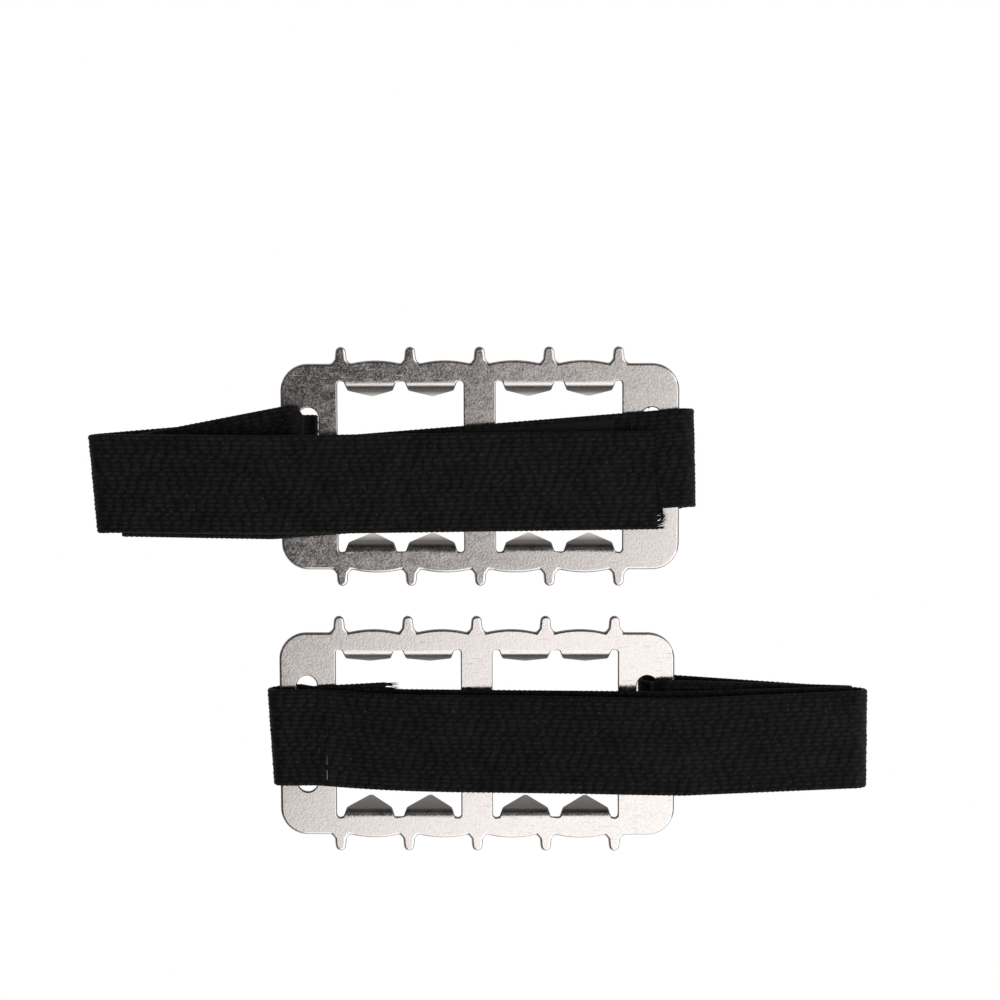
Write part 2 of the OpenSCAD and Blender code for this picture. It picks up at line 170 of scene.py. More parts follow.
@dataclass(frozen=True)
class WebbingSizes:
    """Sizes of the webbing, its turns and the heights of its layers over the sheet's middle."""

    width: float = 20.0
    thick: float = 1.2
    row: float = 0.9
    brick: float = 2.1
    rise: float = 0.2
    row_points: int = 4
    edge_points: int = 5
    step: float = 0.32
    lay_step: float = 0.25
    smooth: float = 3.0
    turn_r: float = 2.6
    over_bar: float = 2.6
    middle: float = 3.95
    top: float = 6.05
    under_fold: float = 1.25
    tail: float = 1.3
    sewn: float = 2.65
    run_stations: int = 17
    slot_turn_r: float = 0.9
    slot_climb: float = 45.0
    fold_drift: float = 0.3
    over_shift: Span = (-0.5, 2.0)
    slack_x: float = 4.0
    slack_z: float = -2.55
    slack_r: float = 1.15
    slack_lean: float = 150.0
    least_flap: float = 8.0


@dataclass(frozen=True)
class RibSizes:
    """How the webbing's ribs slip, dip and vary, as shares of a rib; turns are in radians."""

    row_slip: float = 0.25
    row_turn: float = 2.4
    wander: float = 0.12
    wander_along: float = 0.37
    wander_row: float = 1.7
    dip: float = 0.8
    dip_power: int = 6
    least: float = 0.5
    edge: float = 0.2
    edge_wander: float = 0.12
    edge_along: float = 0.31
    shuffle: Triple = (12.99, 78.23, 37.7)
    shuffle_scale: float = 43758.5


@dataclass(frozen=True)
class TapeSizes:
    """Sizes of the sewn tapes, of their uneven ground and of the room for their pile."""

    width: float = 18.0
    thick: float = 0.4
    hook_length: float = 28.0
    loop_lead: float = 5.0
    loop_trail: float = 1.0
    ground_share: float = 0.5
    ground_rise: float = 0.04
    grid: float = 0.4
    edge_points: int = 2
    knot: float = 0.8
    knot_share: float = 0.35
    drift_share: float = 0.15
    drift_turns: tuple[Span, Span] = ((2.3, 1.7), (1.1, -2.9))
    pile_share: float = 0.4
    pile_margin: float = 1.2
    pile_points: int = 6
    pile_sides: int = 4


@dataclass(frozen=True)
class Pile:
    """The loops or hooks of one tape: spacing, wire, and how far out and round they bend."""

    name: str
    on_sewn: bool
    pitch: float
    wire: float
    reach: float
    curl: float


@dataclass(frozen=True)
class StitchSizes:
    """Sizes of the stitches, their heights over the cloth and how light a seam's ends are."""

    thread: float = 0.28
    length: float = 2.2
    pitch: float = 3.0
    inset: float = 1.5
    points: int = 9
    sides: int = 8
    dive: float = 0.42
    taper: float = 0.4
    seam_crest: float = 0.04
    tape_crest: float = -0.12
    dark_end: float = -4.0
    worn_end: float = 1.0
    kept_end: float = -0.9


@dataclass(frozen=True)
class FraySizes:
    """Sizes of the loose fibres at a cut end, and how they gather in tufts."""

    fibres: int = 420
    tufts: int = 22
    spread: float = 0.96
    tuft_lean: float = 0.4
    tuft_width: float = 0.16
    limit: float = 9.8
    level: float = 0.42
    corner: float = -9.0
    corner_width: float = 2.4
    short: float = 0.35
    least: float = 0.35
    sway: float = 0.14
    rooted: float = 0.4
    lift: float = 0.6
    free_longest: float = 2.2
    tail_longest: float = 3.2
    radii: tuple[float, ...] = (0.08, 0.08, 0.07, 0.055, 0.02)
    sides: int = 4


PLATE = PlateSizes()
WEBBING = WebbingSizes()
RIBS = RibSizes()
TAPE = TapeSizes()
LOOP_PILE = Pile("loop", on_sewn=True, pitch=0.9, wire=0.035, reach=0.32, curl=1.0)
HOOK_PILE = Pile("hook", on_sewn=False, pitch=1.4, wire=0.06, reach=0.22, curl=0.8)
STITCH = StitchSizes()
FRAY = FraySizes()


@dataclass(frozen=True)
class StrapLay:
    """How one strap lies on its plate.

    A name that ends in _len is a reach past the slotted bar, one in _x a place along the plate,
    one in _y a place aside from its middle, and one in _tilt a turn in plan.
    """

    outer_len: float
    inner_len: float
    outer_y: float
    inner_y: float
    outer_tilt: float
    inner_tilt: float
    under_y: float
    bar_y: float
    over_y: float
    sewn_bar_y: float
    sewn_end_y: float
    sewn_out: float
    bulge: float
    loop_y: float
    loop_tilt: float
    tail_x: float
    tail_y: float
    tail_end_y: float
    free_bar_y: float
    free_y: float
    free_x: float
    hook_x: float
    end_tilt: float
    sewn_on_top: bool


@dataclass(frozen=True)
class Cleat:
    """One cleat: its name, its place in the row and its strap's lay."""

    name: str
    origin: tuple[float, float]
    turned: bool
    lay: StrapLay

    def to_row(self, points: Array) -> Array:
        """Carries points from the cleat's own frame to the row frame.

        Args:
            points: Points in millimetres, in the last axis.

        Returns:
            The same points in metres in the row frame.
        """
        shift = np.array([self.origin[0], self.origin[1], PLATE.middle_z])
        return (self.turn(points) + shift) * MM

    def turn(self, vectors: Array) -> Array:
        """Turns vectors from the cleat's own frame to the row frame.

        Args:
            vectors: Vectors in the last axis.

        Returns:
            The turned vectors.
        """
        facing = -1.0 if self.turned else 1.0
        return vectors * np.array([facing, facing, 1.0])

    def node(self, part: str) -> str:
        """Names a CAD node or body of this cleat.

        Args:
            part: The name without the cleat's own.

        Returns:
            The full name.
        """
        return f"{self.name}_{part}"


UPPER = Cleat(
    "upper",
    (-0.108919, 27.5),
    False,
    StrapLay(
        outer_len=37.0, inner_len=33.7, outer_y=-2.9, inner_y=-3.9, outer_tilt=4.4, inner_tilt=5.2,
        under_y=0.3, bar_y=0.6, over_y=2.7, sewn_bar_y=-4.2, sewn_end_y=1.3, sewn_out=3.3, bulge=0.0,
        loop_y=2.0, loop_tilt=1.4, tail_x=16.6, tail_y=0.2, tail_end_y=-0.2, free_bar_y=-3.2, free_y=-2.4,
        free_x=35.5, hook_x=26.4, end_tilt=3.0, sewn_on_top=False,
    ),
)
LOWER = Cleat(
    "lower",
    (-0.908919, -27.5),
    True,
    StrapLay(
        outer_len=38.0, inner_len=36.7, outer_y=0.1, inner_y=-0.5, outer_tilt=0.0, inner_tilt=0.0,
        under_y=-2.0, bar_y=-0.8, over_y=-1.6, sewn_bar_y=1.6, sewn_end_y=0.3, sewn_out=2.0, bulge=0.62,
        loop_y=0.4, loop_tilt=3.3, tail_x=18.6, tail_y=-0.1, tail_end_y=-0.9, free_bar_y=0.5, free_y=0.5,
        free_x=17.4, hook_x=11.0, end_tilt=0.0, sewn_on_top=True,
    ),
)


# Routes of the webbing


def bend(
    centre: Sequence[float],
    radius: float,
    start: float,
    stop: float,
    tilt: float = 0.0,
    drift: float = 0.0,
) -> Array:
    """Stations round a bend about a level axis.

    Args:
        centre: The bend's centre.
        radius: Radius to the middle of the webbing.
        start: Pitch of the run at the start; 180 runs back towards -X.
        stop: Pitch at the end; a falling pitch turns to the right.
        tilt: Turn of the webbing's width in plan.
        drift: Sideways travel over the whole bend.

    Returns:
        Rows of x, y, z, tilt and pitch.
    """
    share = np.linspace(0.0, 1.0, ARC_STEPS + 1)
    pitch = start + (stop - start) * share
    side = radius if stop < start else -radius
    along = -side * np.sin(np.radians(pitch))
    turned = np.radians(tilt)
    return np.column_stack(
        [
            centre[0] + along * np.cos(turned),
            centre[1] + along * np.sin(turned) + drift * share,
            centre[2] + side * np.cos(np.radians(pitch)),
            np.full_like(share, tilt),
            pitch,
        ]
    )


def resample(stations: Array, step: float) -> tuple[Array, Array]:
    """Spaces stations evenly along their route.

    Args:
        stations: Rows of x, y, z, tilt and pitch.
        step: Wanted spacing.

    Returns:
        The distances along the route and the stations there.
    """
    hops = np.linalg.norm(np.diff(stations[:, :3], axis=0), axis=1)
    kept = np.concatenate([[True], hops > SAME_PLACE])
    stations = stations[kept]
    along = np.concatenate([[0.0], np.cumsum(hops[hops > SAME_PLACE])])
    count = max(int(round(along[-1] / step)), 2)
    even = np.linspace(0.0, along[-1], count + 1)
    columns = [np.interp(even, along, stations[:, k]) for k in range(stations.shape[1])]
    return even, np.column_stack(columns)


class StrapRoute:
    """One strap's whole route in the cleat's own frame, from its free end to its sewn tail."""

    def __init__(self, lay: StrapLay) -> None:
        """Works out the strap's slopes and fold radii, and lays the route.

        Args:
            lay: How the strap lies.
        """
        self.lay = lay

        # The under layer leaves the bar's turn as a tangent and climbs to the outer fold
        rise = WEBBING.under_fold
        reach = np.hypot(lay.outer_len, rise)
        lean = np.arctan2(rise, lay.outer_len) + np.arcsin(WEBBING.turn_r / reach)
        self.climb = float(np.degrees(lean))

        # The outer fold touches that layer and the top run
        self.outer_r = (WEBBING.top - rise) / (1.0 + np.cos(lean))
        self.outer_x = -PLATE.bar_x - lay.outer_len + self.outer_r * np.sin(lean)

        # Both runs fall evenly from the folded end to the sewn loop
        self.sewn_r = (WEBBING.sewn + WEBBING.tail) / 2
        start = WEBBING.top if lay.sewn_on_top else WEBBING.middle
        self.fall = (start - WEBBING.sewn) / (PLATE.knee_x - PLATE.run_x)
        self.slope = float(np.degrees(np.arctan(self.fall)))

        # The stretches are joined so that the pitch runs on without a jump
        free, loop, sewn = self.free(), self.loop(), self.sewn()
        if lay.sewn_on_top:
            loop = loop[::-1] - [0.0, 0.0, 0.0, 0.0, 180.0]
        else:
            sewn = sewn + [0.0, 0.0, 0.0, 0.0, 360.0]
        whole = np.vstack([free, loop, sewn])
        hops = np.linalg.norm(np.diff(whole[:, :3], axis=0), axis=1)
        places = np.concatenate([[0.0], np.cumsum(hops)])
        self.root_at = float(places[1])
        self.loop_at = float(places[len(free)])
        self.sewn_at = float(places[len(free) + len(loop)])
        self.along, self.rows = self.smoothed(whole)
        self.length = float(self.along[-1])

    @staticmethod
    def smoothed(whole: Array) -> tuple[Array, Array]:
        """Evens a route out and eases its sideways turns.

        Args:
            whole: Rows of x, y, z, tilt and pitch.

        Returns:
            The distances along the route and the stations there.
        """
        along, rows = resample(whole, WEBBING.lay_step)
        reach = int(round(WEBBING.smooth / (2 * WEBBING.lay_step)))
        window = np.hanning(2 * reach + 3)[1:-1]
        window /= window.sum()
        for column in (SIDE_COLUMN, TILT_COLUMN):
            padded = np.pad(rows[:, column], reach, mode="reflect", reflect_type="odd")
            rows[:, column] = np.convolve(padded, window, mode="valid")
        return along, rows

    def stretch(self, start: float, stop: float) -> tuple[Array, Array]:
        """A stretch of the strap.

        Args:
            start: Distance along the strap where it starts.
            stop: Distance where it ends.

        Returns:
            Even distances along the strap and the stations there.
        """
        even = np.linspace(start, stop, int(round((stop - start) / WEBBING.step)) + 1)
        columns = [np.interp(even, self.along, column) for column in self.rows.T]
        return even, np.column_stack(columns)

    def height(self, x: float, top: bool) -> float:
        """Height of a run over the sheet's middle.

        Args:
            x: Place along the plate.
            top: Whether it is the upper of the two runs.

        Returns:
            The height of the webbing's middle.
        """
        level = WEBBING.top if top else WEBBING.middle
        return level - (max(x, PLATE.run_x) - PLATE.run_x) * self.fall

    def sewn_station(self, x: float) -> Array:
        """A station of the sewn run at x.

        Args:
            x: Place along the plate.

        Returns:
            One row of x, y, z, tilt and pitch.
        """
        share = (x + PLATE.bar_x) / (PLATE.knee_x + PLATE.bar_x)
        y = self.lay.sewn_bar_y + (self.lay.sewn_end_y - self.lay.sewn_bar_y) * share
        y += self.lay.bulge * np.sin(np.pi * np.clip(share, 0.0, 1.0) ** 2)
        pitch = -self.slope if x > PLATE.cut_x else 0.0
        return np.array([[x, y, self.height(x, self.lay.sewn_on_top), 0.0, pitch]])

    def free_station(self, x: float, tilt: float = 0.0) -> Array:
        """A station of the free run at x.

        Args:
            x: Place along the plate.
            tilt: Turn of the webbing's width in plan.

        Returns:
            One row of x, y, z, tilt and pitch.
        """
        pitch = -self.slope if x > PLATE.cut_x else 0.0
        height = self.height(x, not self.lay.sewn_on_top)
        share = (x - PLATE.cut_x) / (self.lay.free_x - PLATE.cut_x)
        y = self.lay.free_bar_y + (self.lay.free_y - self.lay.free_bar_y) * share
        return np.array([[x, y, height, tilt, pitch]])

    def loop(self) -> Array:
        """The folded end, from the top run round the slotted bar to the middle run.

        Returns:
            Rows of x, y, z, tilt and pitch.
        """
        lay = self.lay
        runs = [self.free_station(PLATE.cut_x), self.sewn_station(PLATE.cut_x)]
        first, last = reversed(runs) if lay.sewn_on_top else runs
        first[0, PITCH_COLUMN] = 180.0
        last[0, PITCH_COLUMN] = 360.0
        inner_r = (WEBBING.middle - WEBBING.over_bar) / 2
        inner_x = -PLATE.bar_x - lay.inner_len
        outer_centre = (self.outer_x, lay.outer_y, WEBBING.top - self.outer_r)
        inner_centre = (inner_x, lay.inner_y, WEBBING.over_bar + inner_r)
        under = 360.0 - self.climb
        return np.vstack(
            [
                first,
                bend(outer_centre, self.outer_r, 180.0, under, lay.outer_tilt),
                self.bar_turn(under),
                bend(inner_centre, inner_r, 540.0, 360.0, lay.inner_tilt),
                last,
            ]
        )

    def bar_turn(self, start: float) -> Array:
        """The turn round the slotted bar, slack under the slot and tight over the bar.

        Args:
            start: Pitch at which the webbing comes in under the bar.

        Returns:
            Rows of x, y, z, tilt and pitch.
        """
        lay = self.lay
        lean = 360.0 + WEBBING.slack_lean
        slack = (WEBBING.slack_x - PLATE.bar_x, lay.under_y, WEBBING.slack_z)
        below = bend(slack, WEBBING.slack_r, start, lean, 0.0, lay.bar_y - lay.under_y)

        # A wide bend leads from the slack to the bar's turn, and meets it where both run upright
        sine, cosine = (float(f(np.radians(lean))) for f in (np.sin, np.cos))
        aside = below[-1, 0] - (WEBBING.turn_r - PLATE.bar_x)
        radius = (below[-1, 2] * cosine - aside * sine) / (cosine**2 - sine * (1.0 - sine))
        hinge = (WEBBING.turn_r - PLATE.bar_x + radius, lay.bar_y, 0.0)
        back = bend(hinge, radius, lean, 450.0)
        over = bend((-PLATE.bar_x, lay.bar_y, 0.0), WEBBING.turn_r, 450.0, 540.0)
        shifted = np.clip(np.linspace(*WEBBING.over_shift, len(over)), 0.0, 1.0)
        over[:, SIDE_COLUMN] += (lay.over_y - lay.bar_y) * shifted
        return np.vstack([below, back, over])

    def sewn(self) -> Array:
        """The sewn run, its loop round the far bar and its tail.

        Returns:
            Rows of x, y, z, tilt and pitch.
        """
        lay = self.lay
        radius = WEBBING.slot_turn_r
        climb = np.radians(WEBBING.slot_climb)
        steep = (2 * WEBBING.tail - 2 * radius * (1 - np.cos(climb))) / np.sin(climb)
        half = radius * np.sin(climb) + steep / 2 * np.cos(climb)
        fold_x = PLATE.length / 2 + lay.sewn_out - self.sewn_r - WEBBING.thick / 2
        fold = (fold_x, lay.loop_y, WEBBING.sewn - self.sewn_r)
        entry = (PLATE.slot_x + half, lay.tail_y, radius - WEBBING.tail)
        leave = (PLATE.slot_x - half, lay.tail_y, WEBBING.tail - radius)
        drift = WEBBING.fold_drift * (lay.tail_y - lay.loop_y)
        places = np.linspace(PLATE.run_x, PLATE.knee_x, WEBBING.run_stations)
        steepest = -180.0 - WEBBING.slot_climb
        return np.vstack(
            [
                self.sewn_station(PLATE.cut_x),
                *[self.sewn_station(x) for x in places],
                bend(fold, self.sewn_r, 0.0, -180.0, lay.loop_tilt, drift),
                bend(entry, radius, -180.0, steepest),
                bend(leave, radius, steepest, -180.0),
                [[lay.tail_x, lay.tail_end_y, WEBBING.tail, 0.0, -180.0]],
            ]
        )

    def free(self) -> Array:
        """The free run, from its cut end to the folded end.

        Returns:
            Rows of x, y, z, tilt and pitch; the second is where the flap's root starts.
        """
        end = self.free_station(self.lay.free_x, self.lay.end_tilt)
        root_x = min(PLATE.flap_x - PLATE.flap_bend / 2, self.lay.free_x - WEBBING.least_flap)
        places = (root_x, PLATE.run_x, PLATE.cut_x)
        rows = np.vstack([end, *[self.free_station(x) for x in places]])
        rows[:, PITCH_COLUMN] += 180.0
        return rows

    def tape_span(self, on_sewn: bool) -> tuple[float, float]:
        """Where a tape starts and ends along the plate.

        Args:
            on_sewn: True for the loop tape on the sewn run.

        Returns:
            The two places.
        """
        end = self.lay.hook_x
        start = end - TAPE.hook_length
        if on_sewn:
            return start - TAPE.loop_lead, end + TAPE.loop_trail
        return start, end

    def tape_side(self, on_sewn: bool) -> int:
        """Which face of its run a tape lies on.

        Args:
            on_sewn: True for the loop tape on the sewn run.

        Returns:
            1 for the upper face and -1 for the lower.
        """
        return -1 if self.lay.sewn_on_top == on_sewn else 1

    def run_station(self, on_sewn: bool, x: float) -> Array:
        """A station of either run.

        Args:
            on_sewn: True for the sewn run.
            x: Place along the plate.

        Returns:
            One row of x, y, z, tilt and pitch.
        """
        return self.sewn_station(x) if on_sewn else self.free_station(x)


# Surfaces


def shown(name: str, data: bpy.types.ID) -> bpy.types.Object:
    """Makes an object and links it to the scene.

    Args:
        name: The object's name.
        data: Its mesh, light or camera.

    Returns:
        The object.
    """
    made = bpy.data.objects.new(name, data)
    bpy.context.scene.collection.objects.link(made)
    return made


def frames(stations: Array) -> tuple[Array, Array, Array]:
    """Directions at stations.

    Args:
        stations: Rows of x, y, z, tilt and pitch.

    Returns:
        Unit vectors across the width, out of the face and along the run.
    """
    tilt, pitch = np.radians(stations[:, [TILT_COLUMN, PITCH_COLUMN]]).T
    across = np.column_stack([-np.sin(tilt), np.cos(tilt), np.zeros_like(tilt)])
    out = np.column_stack(
        [-np.cos(tilt) * np.sin(pitch), -np.sin(tilt) * np.sin(pitch), np.cos(pitch)]
    )
    return across, out, np.cross(across, out)


@dataclass(frozen=True)
class Section:
    """A closed flat section with round edges, its normals and which face each point is on."""

    across: Array
    up: Array
    normal_across: Array
    normal_up: Array
    face: Array

    @classmethod
    def flat(cls, width: float, thick: float, spacing: float, edge_points: int) -> Section:
        """Makes the section of a tape or webbing.

        Args:
            width: Full width.
            thick: Full thickness.
            spacing: Wanted spacing of the points across a face.
            edge_points: Points round each edge.

        Returns:
            The section, its upper face first.
        """
        radius = thick / 2
        half = width / 2 - radius
        count = int(round(2 * half / spacing)) + 1
        face = np.linspace(-half, half, count)
        turn = np.linspace(np.pi / 2, -np.pi / 2, edge_points + 2)[1:-1]
        flat = np.zeros(count)
        ones = np.ones(count)
        edge = np.zeros(edge_points)
        return cls(
            np.concatenate([face, half + radius * np.cos(turn), -face, -half - radius * np.cos(turn)]),
            np.concatenate([ones * radius, radius * np.sin(turn), -ones * radius, -radius * np.sin(turn)]),
            np.concatenate([flat, np.cos(turn), flat, -np.cos(turn)]),
            np.concatenate([ones, np.sin(turn), -ones, -np.sin(turn)]),
            np.concatenate([ones, edge, -ones, edge]),
        )


class Relief:
    """Height patterns of cloth, in millimetres, over places along and across it."""

    @staticmethod
    def weave(along: Array, across: Array, face: Array) -> Array:
        """The brick-like ribs of heavy webbing, each brick a little different.

        A rib is an arch across its row that dips between two bricks, and an edge is a low wave.

        Args:
            along: Places along the strap.
            across: Places across it.
            face: 1 or -1 on its faces, 0 on its edges.

        Returns:
            The heights.
        """
        place = (across + WEBBING.width / 2) / WEBBING.row
        row = np.floor(place)
        crown = 1.0 - (2.0 * (place - row) - 1.0) ** 2
        odd = (row + (face < 0)) % 2
        wander = np.sin(RIBS.wander_along * along + RIBS.wander_row * row)
        slip = RIBS.row_slip * np.sin(RIBS.row_turn * row) + RIBS.wander * wander
        beat = along / WEBBING.brick + 0.5 * odd + slip
        dip = np.abs(np.cos(np.pi * beat)) ** RIBS.dip_power
        brick = np.floor(beat + 0.5)
        by_row, by_brick, by_face = RIBS.shuffle
        mixed = np.sin(row * by_row + brick * by_brick + face * by_face) * RIBS.shuffle_scale
        chance = np.modf(np.abs(mixed))[0]
        tall = RIBS.least + (1.0 - RIBS.least) * chance
        ribs = crown * (1.0 - RIBS.dip * dip) * tall - 0.5
        edge = RIBS.edge + RIBS.edge_wander * np.sin(RIBS.edge_along * along)
        selvage = edge * np.cos(2 * np.pi * along / (WEBBING.brick / 2))
        return WEBBING.rise * np.where(face == 0, selvage, ribs)

    @staticmethod
    def ground(along: Array, across: Array, face: Array) -> Array:
        """The uneven ground of a woven tape: small knots on a slow drift, and plain edges.

        Args:
            along: Places along the tape.
            across: Places across it.
            face: 1 or -1 on its faces, 0 on its edges.

        Returns:
            The heights.
        """
        knots = np.sin(2 * np.pi * along / TAPE.knot) * np.sin(2 * np.pi * across / TAPE.knot)
        first, second = (np.sin(a * along + b * across) for a, b in TAPE.drift_turns)
        uneven = TAPE.knot_share * knots + TAPE.drift_share * (first * second)
        return TAPE.ground_rise * np.where(face == 0, 0.0, uneven)


@dataclass
class MeshData:
    """Points, faces and the places on the cloth of one surface."""

    points: Array
    normals: Array
    quads: Array
    places: Array
    relief: Array
    caps: tuple[Array, ...] = ()

    @classmethod
    def ribbon(cls, cleat: Cleat, along: Array, rows: Array, section: Section,
               relief: ReliefFn) -> MeshData:
        """Carries a section along a route.

        Its normals reckon with one more row past each end, so that two stretches meet unseen.

        Args:
            cleat: The cleat whose frame the route is in.
            along: Distances along the strap, which place the pattern.
            rows: Stations there, as x, y, z, tilt and pitch.
            section: The section.
            relief: Height over the section.

        Returns:
            The surface in the row frame.
        """
        rows = np.vstack([2 * rows[:1] - rows[1:2], rows, 2 * rows[-1:] - rows[-2:-1]])
        pattern = np.concatenate([[2 * along[0] - along[1]], along, [2 * along[-1] - along[-2]]])
        across, out, _ = frames(rows)
        lift = relief(pattern[:, None], section.across[None, :], section.face[None, :])
        aside = section.across[None, :] + section.normal_across[None, :] * lift
        upward = section.up[None, :] + section.normal_up[None, :] * lift
        points = (
            rows[:, None, :3]
            + across[:, None, :] * aside[:, :, None]
            + out[:, None, :] * upward[:, :, None]
        )
        around_step = (np.roll(points, -1, axis=1) - np.roll(points, 1, axis=1))[1:-1]
        normals = np.cross(points[2:] - points[:-2], around_step)
        normals /= np.linalg.norm(normals, axis=2, keepdims=True)
        points, lift, pattern = points[1:-1], lift[1:-1], pattern[1:-1]
        count, around = lift.shape
        i = np.arange(count - 1)[:, None] * around
        j = np.arange(around)[None, :]
        k = (j + 1) % around
        quads = np.stack([i + j, i + around + j, i + around + k, i + k], axis=-1)
        places = np.stack(np.broadcast_arrays(pattern[:, None], section.across[None, :]), axis=-1)
        first = np.arange(around)
        last = (count - 1) * around + first[::-1]
        return cls(
            cleat.to_row(points).reshape(-1, 3),
            cleat.turn(normals).reshape(-1, 3),
            quads.reshape(-1, 4),
            places.reshape(-1, 2) * MM,
            lift.reshape(-1),
            (first, last),
        )

    @classmethod
    def tubes(cls, cleat: Cleat, paths: Array, radii: Array, sides: int,
              tone: Array | None = None) -> MeshData:
        """Round threads with closed ends along many paths of the same number of points.

        Args:
            cleat: The cleat whose frame the paths are in.
            paths: Points, as threads by points by three.
            radii: Radius at each point of a path.
            sides: Sides of a thread, an even number.
            tone: How light each thread is, from -1 to 1.

        Returns:
            The surface in the row frame.
        """
        tangent = np.gradient(paths, axis=1)
        tangent /= np.linalg.norm(tangent, axis=2, keepdims=True)
        steepest = np.abs(tangent).mean(axis=1).argmin(axis=1)
        aside = np.cross(tangent, np.eye(3)[steepest][:, None, :])
        aside /= np.linalg.norm(aside, axis=2, keepdims=True)
        upward = np.cross(aside, tangent)
        turn = np.linspace(0.0, 2 * np.pi, sides, endpoint=False)
        ring = (
            aside[:, :, None, :] * np.cos(turn)[None, None, :, None]
            + upward[:, :, None, :] * np.sin(turn)[None, None, :, None]
        )
        points = paths[:, :, None, :] + ring * radii[None, :, None, None]
        threads, length = paths.shape[:2]
        base = np.arange(threads)[:, None, None] * length * sides
        i = np.arange(length - 1)[None, :, None] * sides
        j = np.arange(sides)[None, None, :]
        k = (j + 1) % sides
        sleeve = np.stack(
            [base + i + j, base + i + sides + j, base + i + sides + k, base + i + k], axis=-1
        )
        fan = 2 * np.arange(sides // 2 - 1)[:, None] + np.arange(4)[None, :]
        fan[:, 0] = 0
        near = base + fan[None, :, :]
        far = near[:, :, ::-1] + (length - 1) * sides
        quads = np.concatenate([part.reshape(-1, 4) for part in (sleeve, near, far)])
        shades = np.zeros(threads) if tone is None else tone
        run = np.tile(np.repeat(np.linspace(0.0, 1.0, length), sides), threads)
        around = np.tile(np.arange(sides) / sides, threads * length)
        return cls(
            cleat.to_row(points).reshape(-1, 3),
            cleat.turn(ring).reshape(-1, 3),
            quads,
            np.column_stack([run, around]) * MM,
            np.repeat(shades, length * sides),
        )

    def joined(self, other: MeshData) -> MeshData:
        """Adds another surface to this one.

        Args:
            other: The surface to add.

        Returns:
            Both as one.
        """
        shift = len(self.points)
        return MeshData(
            np.vstack([self.points, other.points]),
            np.vstack([self.normals, other.normals]),
            np.vstack([self.quads, other.quads + shift]),
            np.vstack([self.places, other.places]),
            np.concatenate([self.relief, other.relief]),
            self.caps + tuple(cap + shift for cap in other.caps),
        )

    def to_object(self, name: str, material: bpy.types.Material) -> bpy.types.Object:
        """Makes the Blender object.

        Args:
            name: The piece's name.
            material: Its material.

        Returns:
            The object, linked to the scene.
        """
        corners = np.concatenate([self.quads.reshape(-1), *self.caps]).astype(np.int32)
        sizes = np.concatenate(
            [np.full(len(self.quads), 4), [len(cap) for cap in self.caps]]
        ).astype(np.int32)
        starts = np.concatenate([[0], np.cumsum(sizes)[:-1]]).astype(np.int32)
        mesh = bpy.data.meshes.new(name)
        mesh.vertices.add(len(self.points))
        mesh.vertices.foreach_set("co", self.points.astype(np.float32).ravel())
        mesh.loops.add(len(corners))
        mesh.loops.foreach_set("vertex_index", corners)
        mesh.polygons.add(len(sizes))
        mesh.polygons.foreach_set("loop_start", starts)
        mesh.polygons.foreach_set("use_smooth", np.arange(len(sizes)) < len(self.quads))
        mesh.update(calc_edges=True)
        corner_normals = self.normals[corners]
        corner_normals[self.quads.size:] = 0.0
        mesh.normals_split_custom_set(corner_normals)
        layer = mesh.uv_layers.new(name=CLOTH_MAP)
        layer.data.foreach_set("uv", self.places[corners].astype(np.float32).ravel())
        height = mesh.attributes.new(RELIEF_LAYER, "FLOAT", "POINT")
        height.data.foreach_set("value", self.relief.astype(np.float32))
        mesh.materials.append(material)
        LOG.info("%s: %d points, %d faces", name, len(self.points), len(sizes))
        return shown(name, mesh)


# Materials


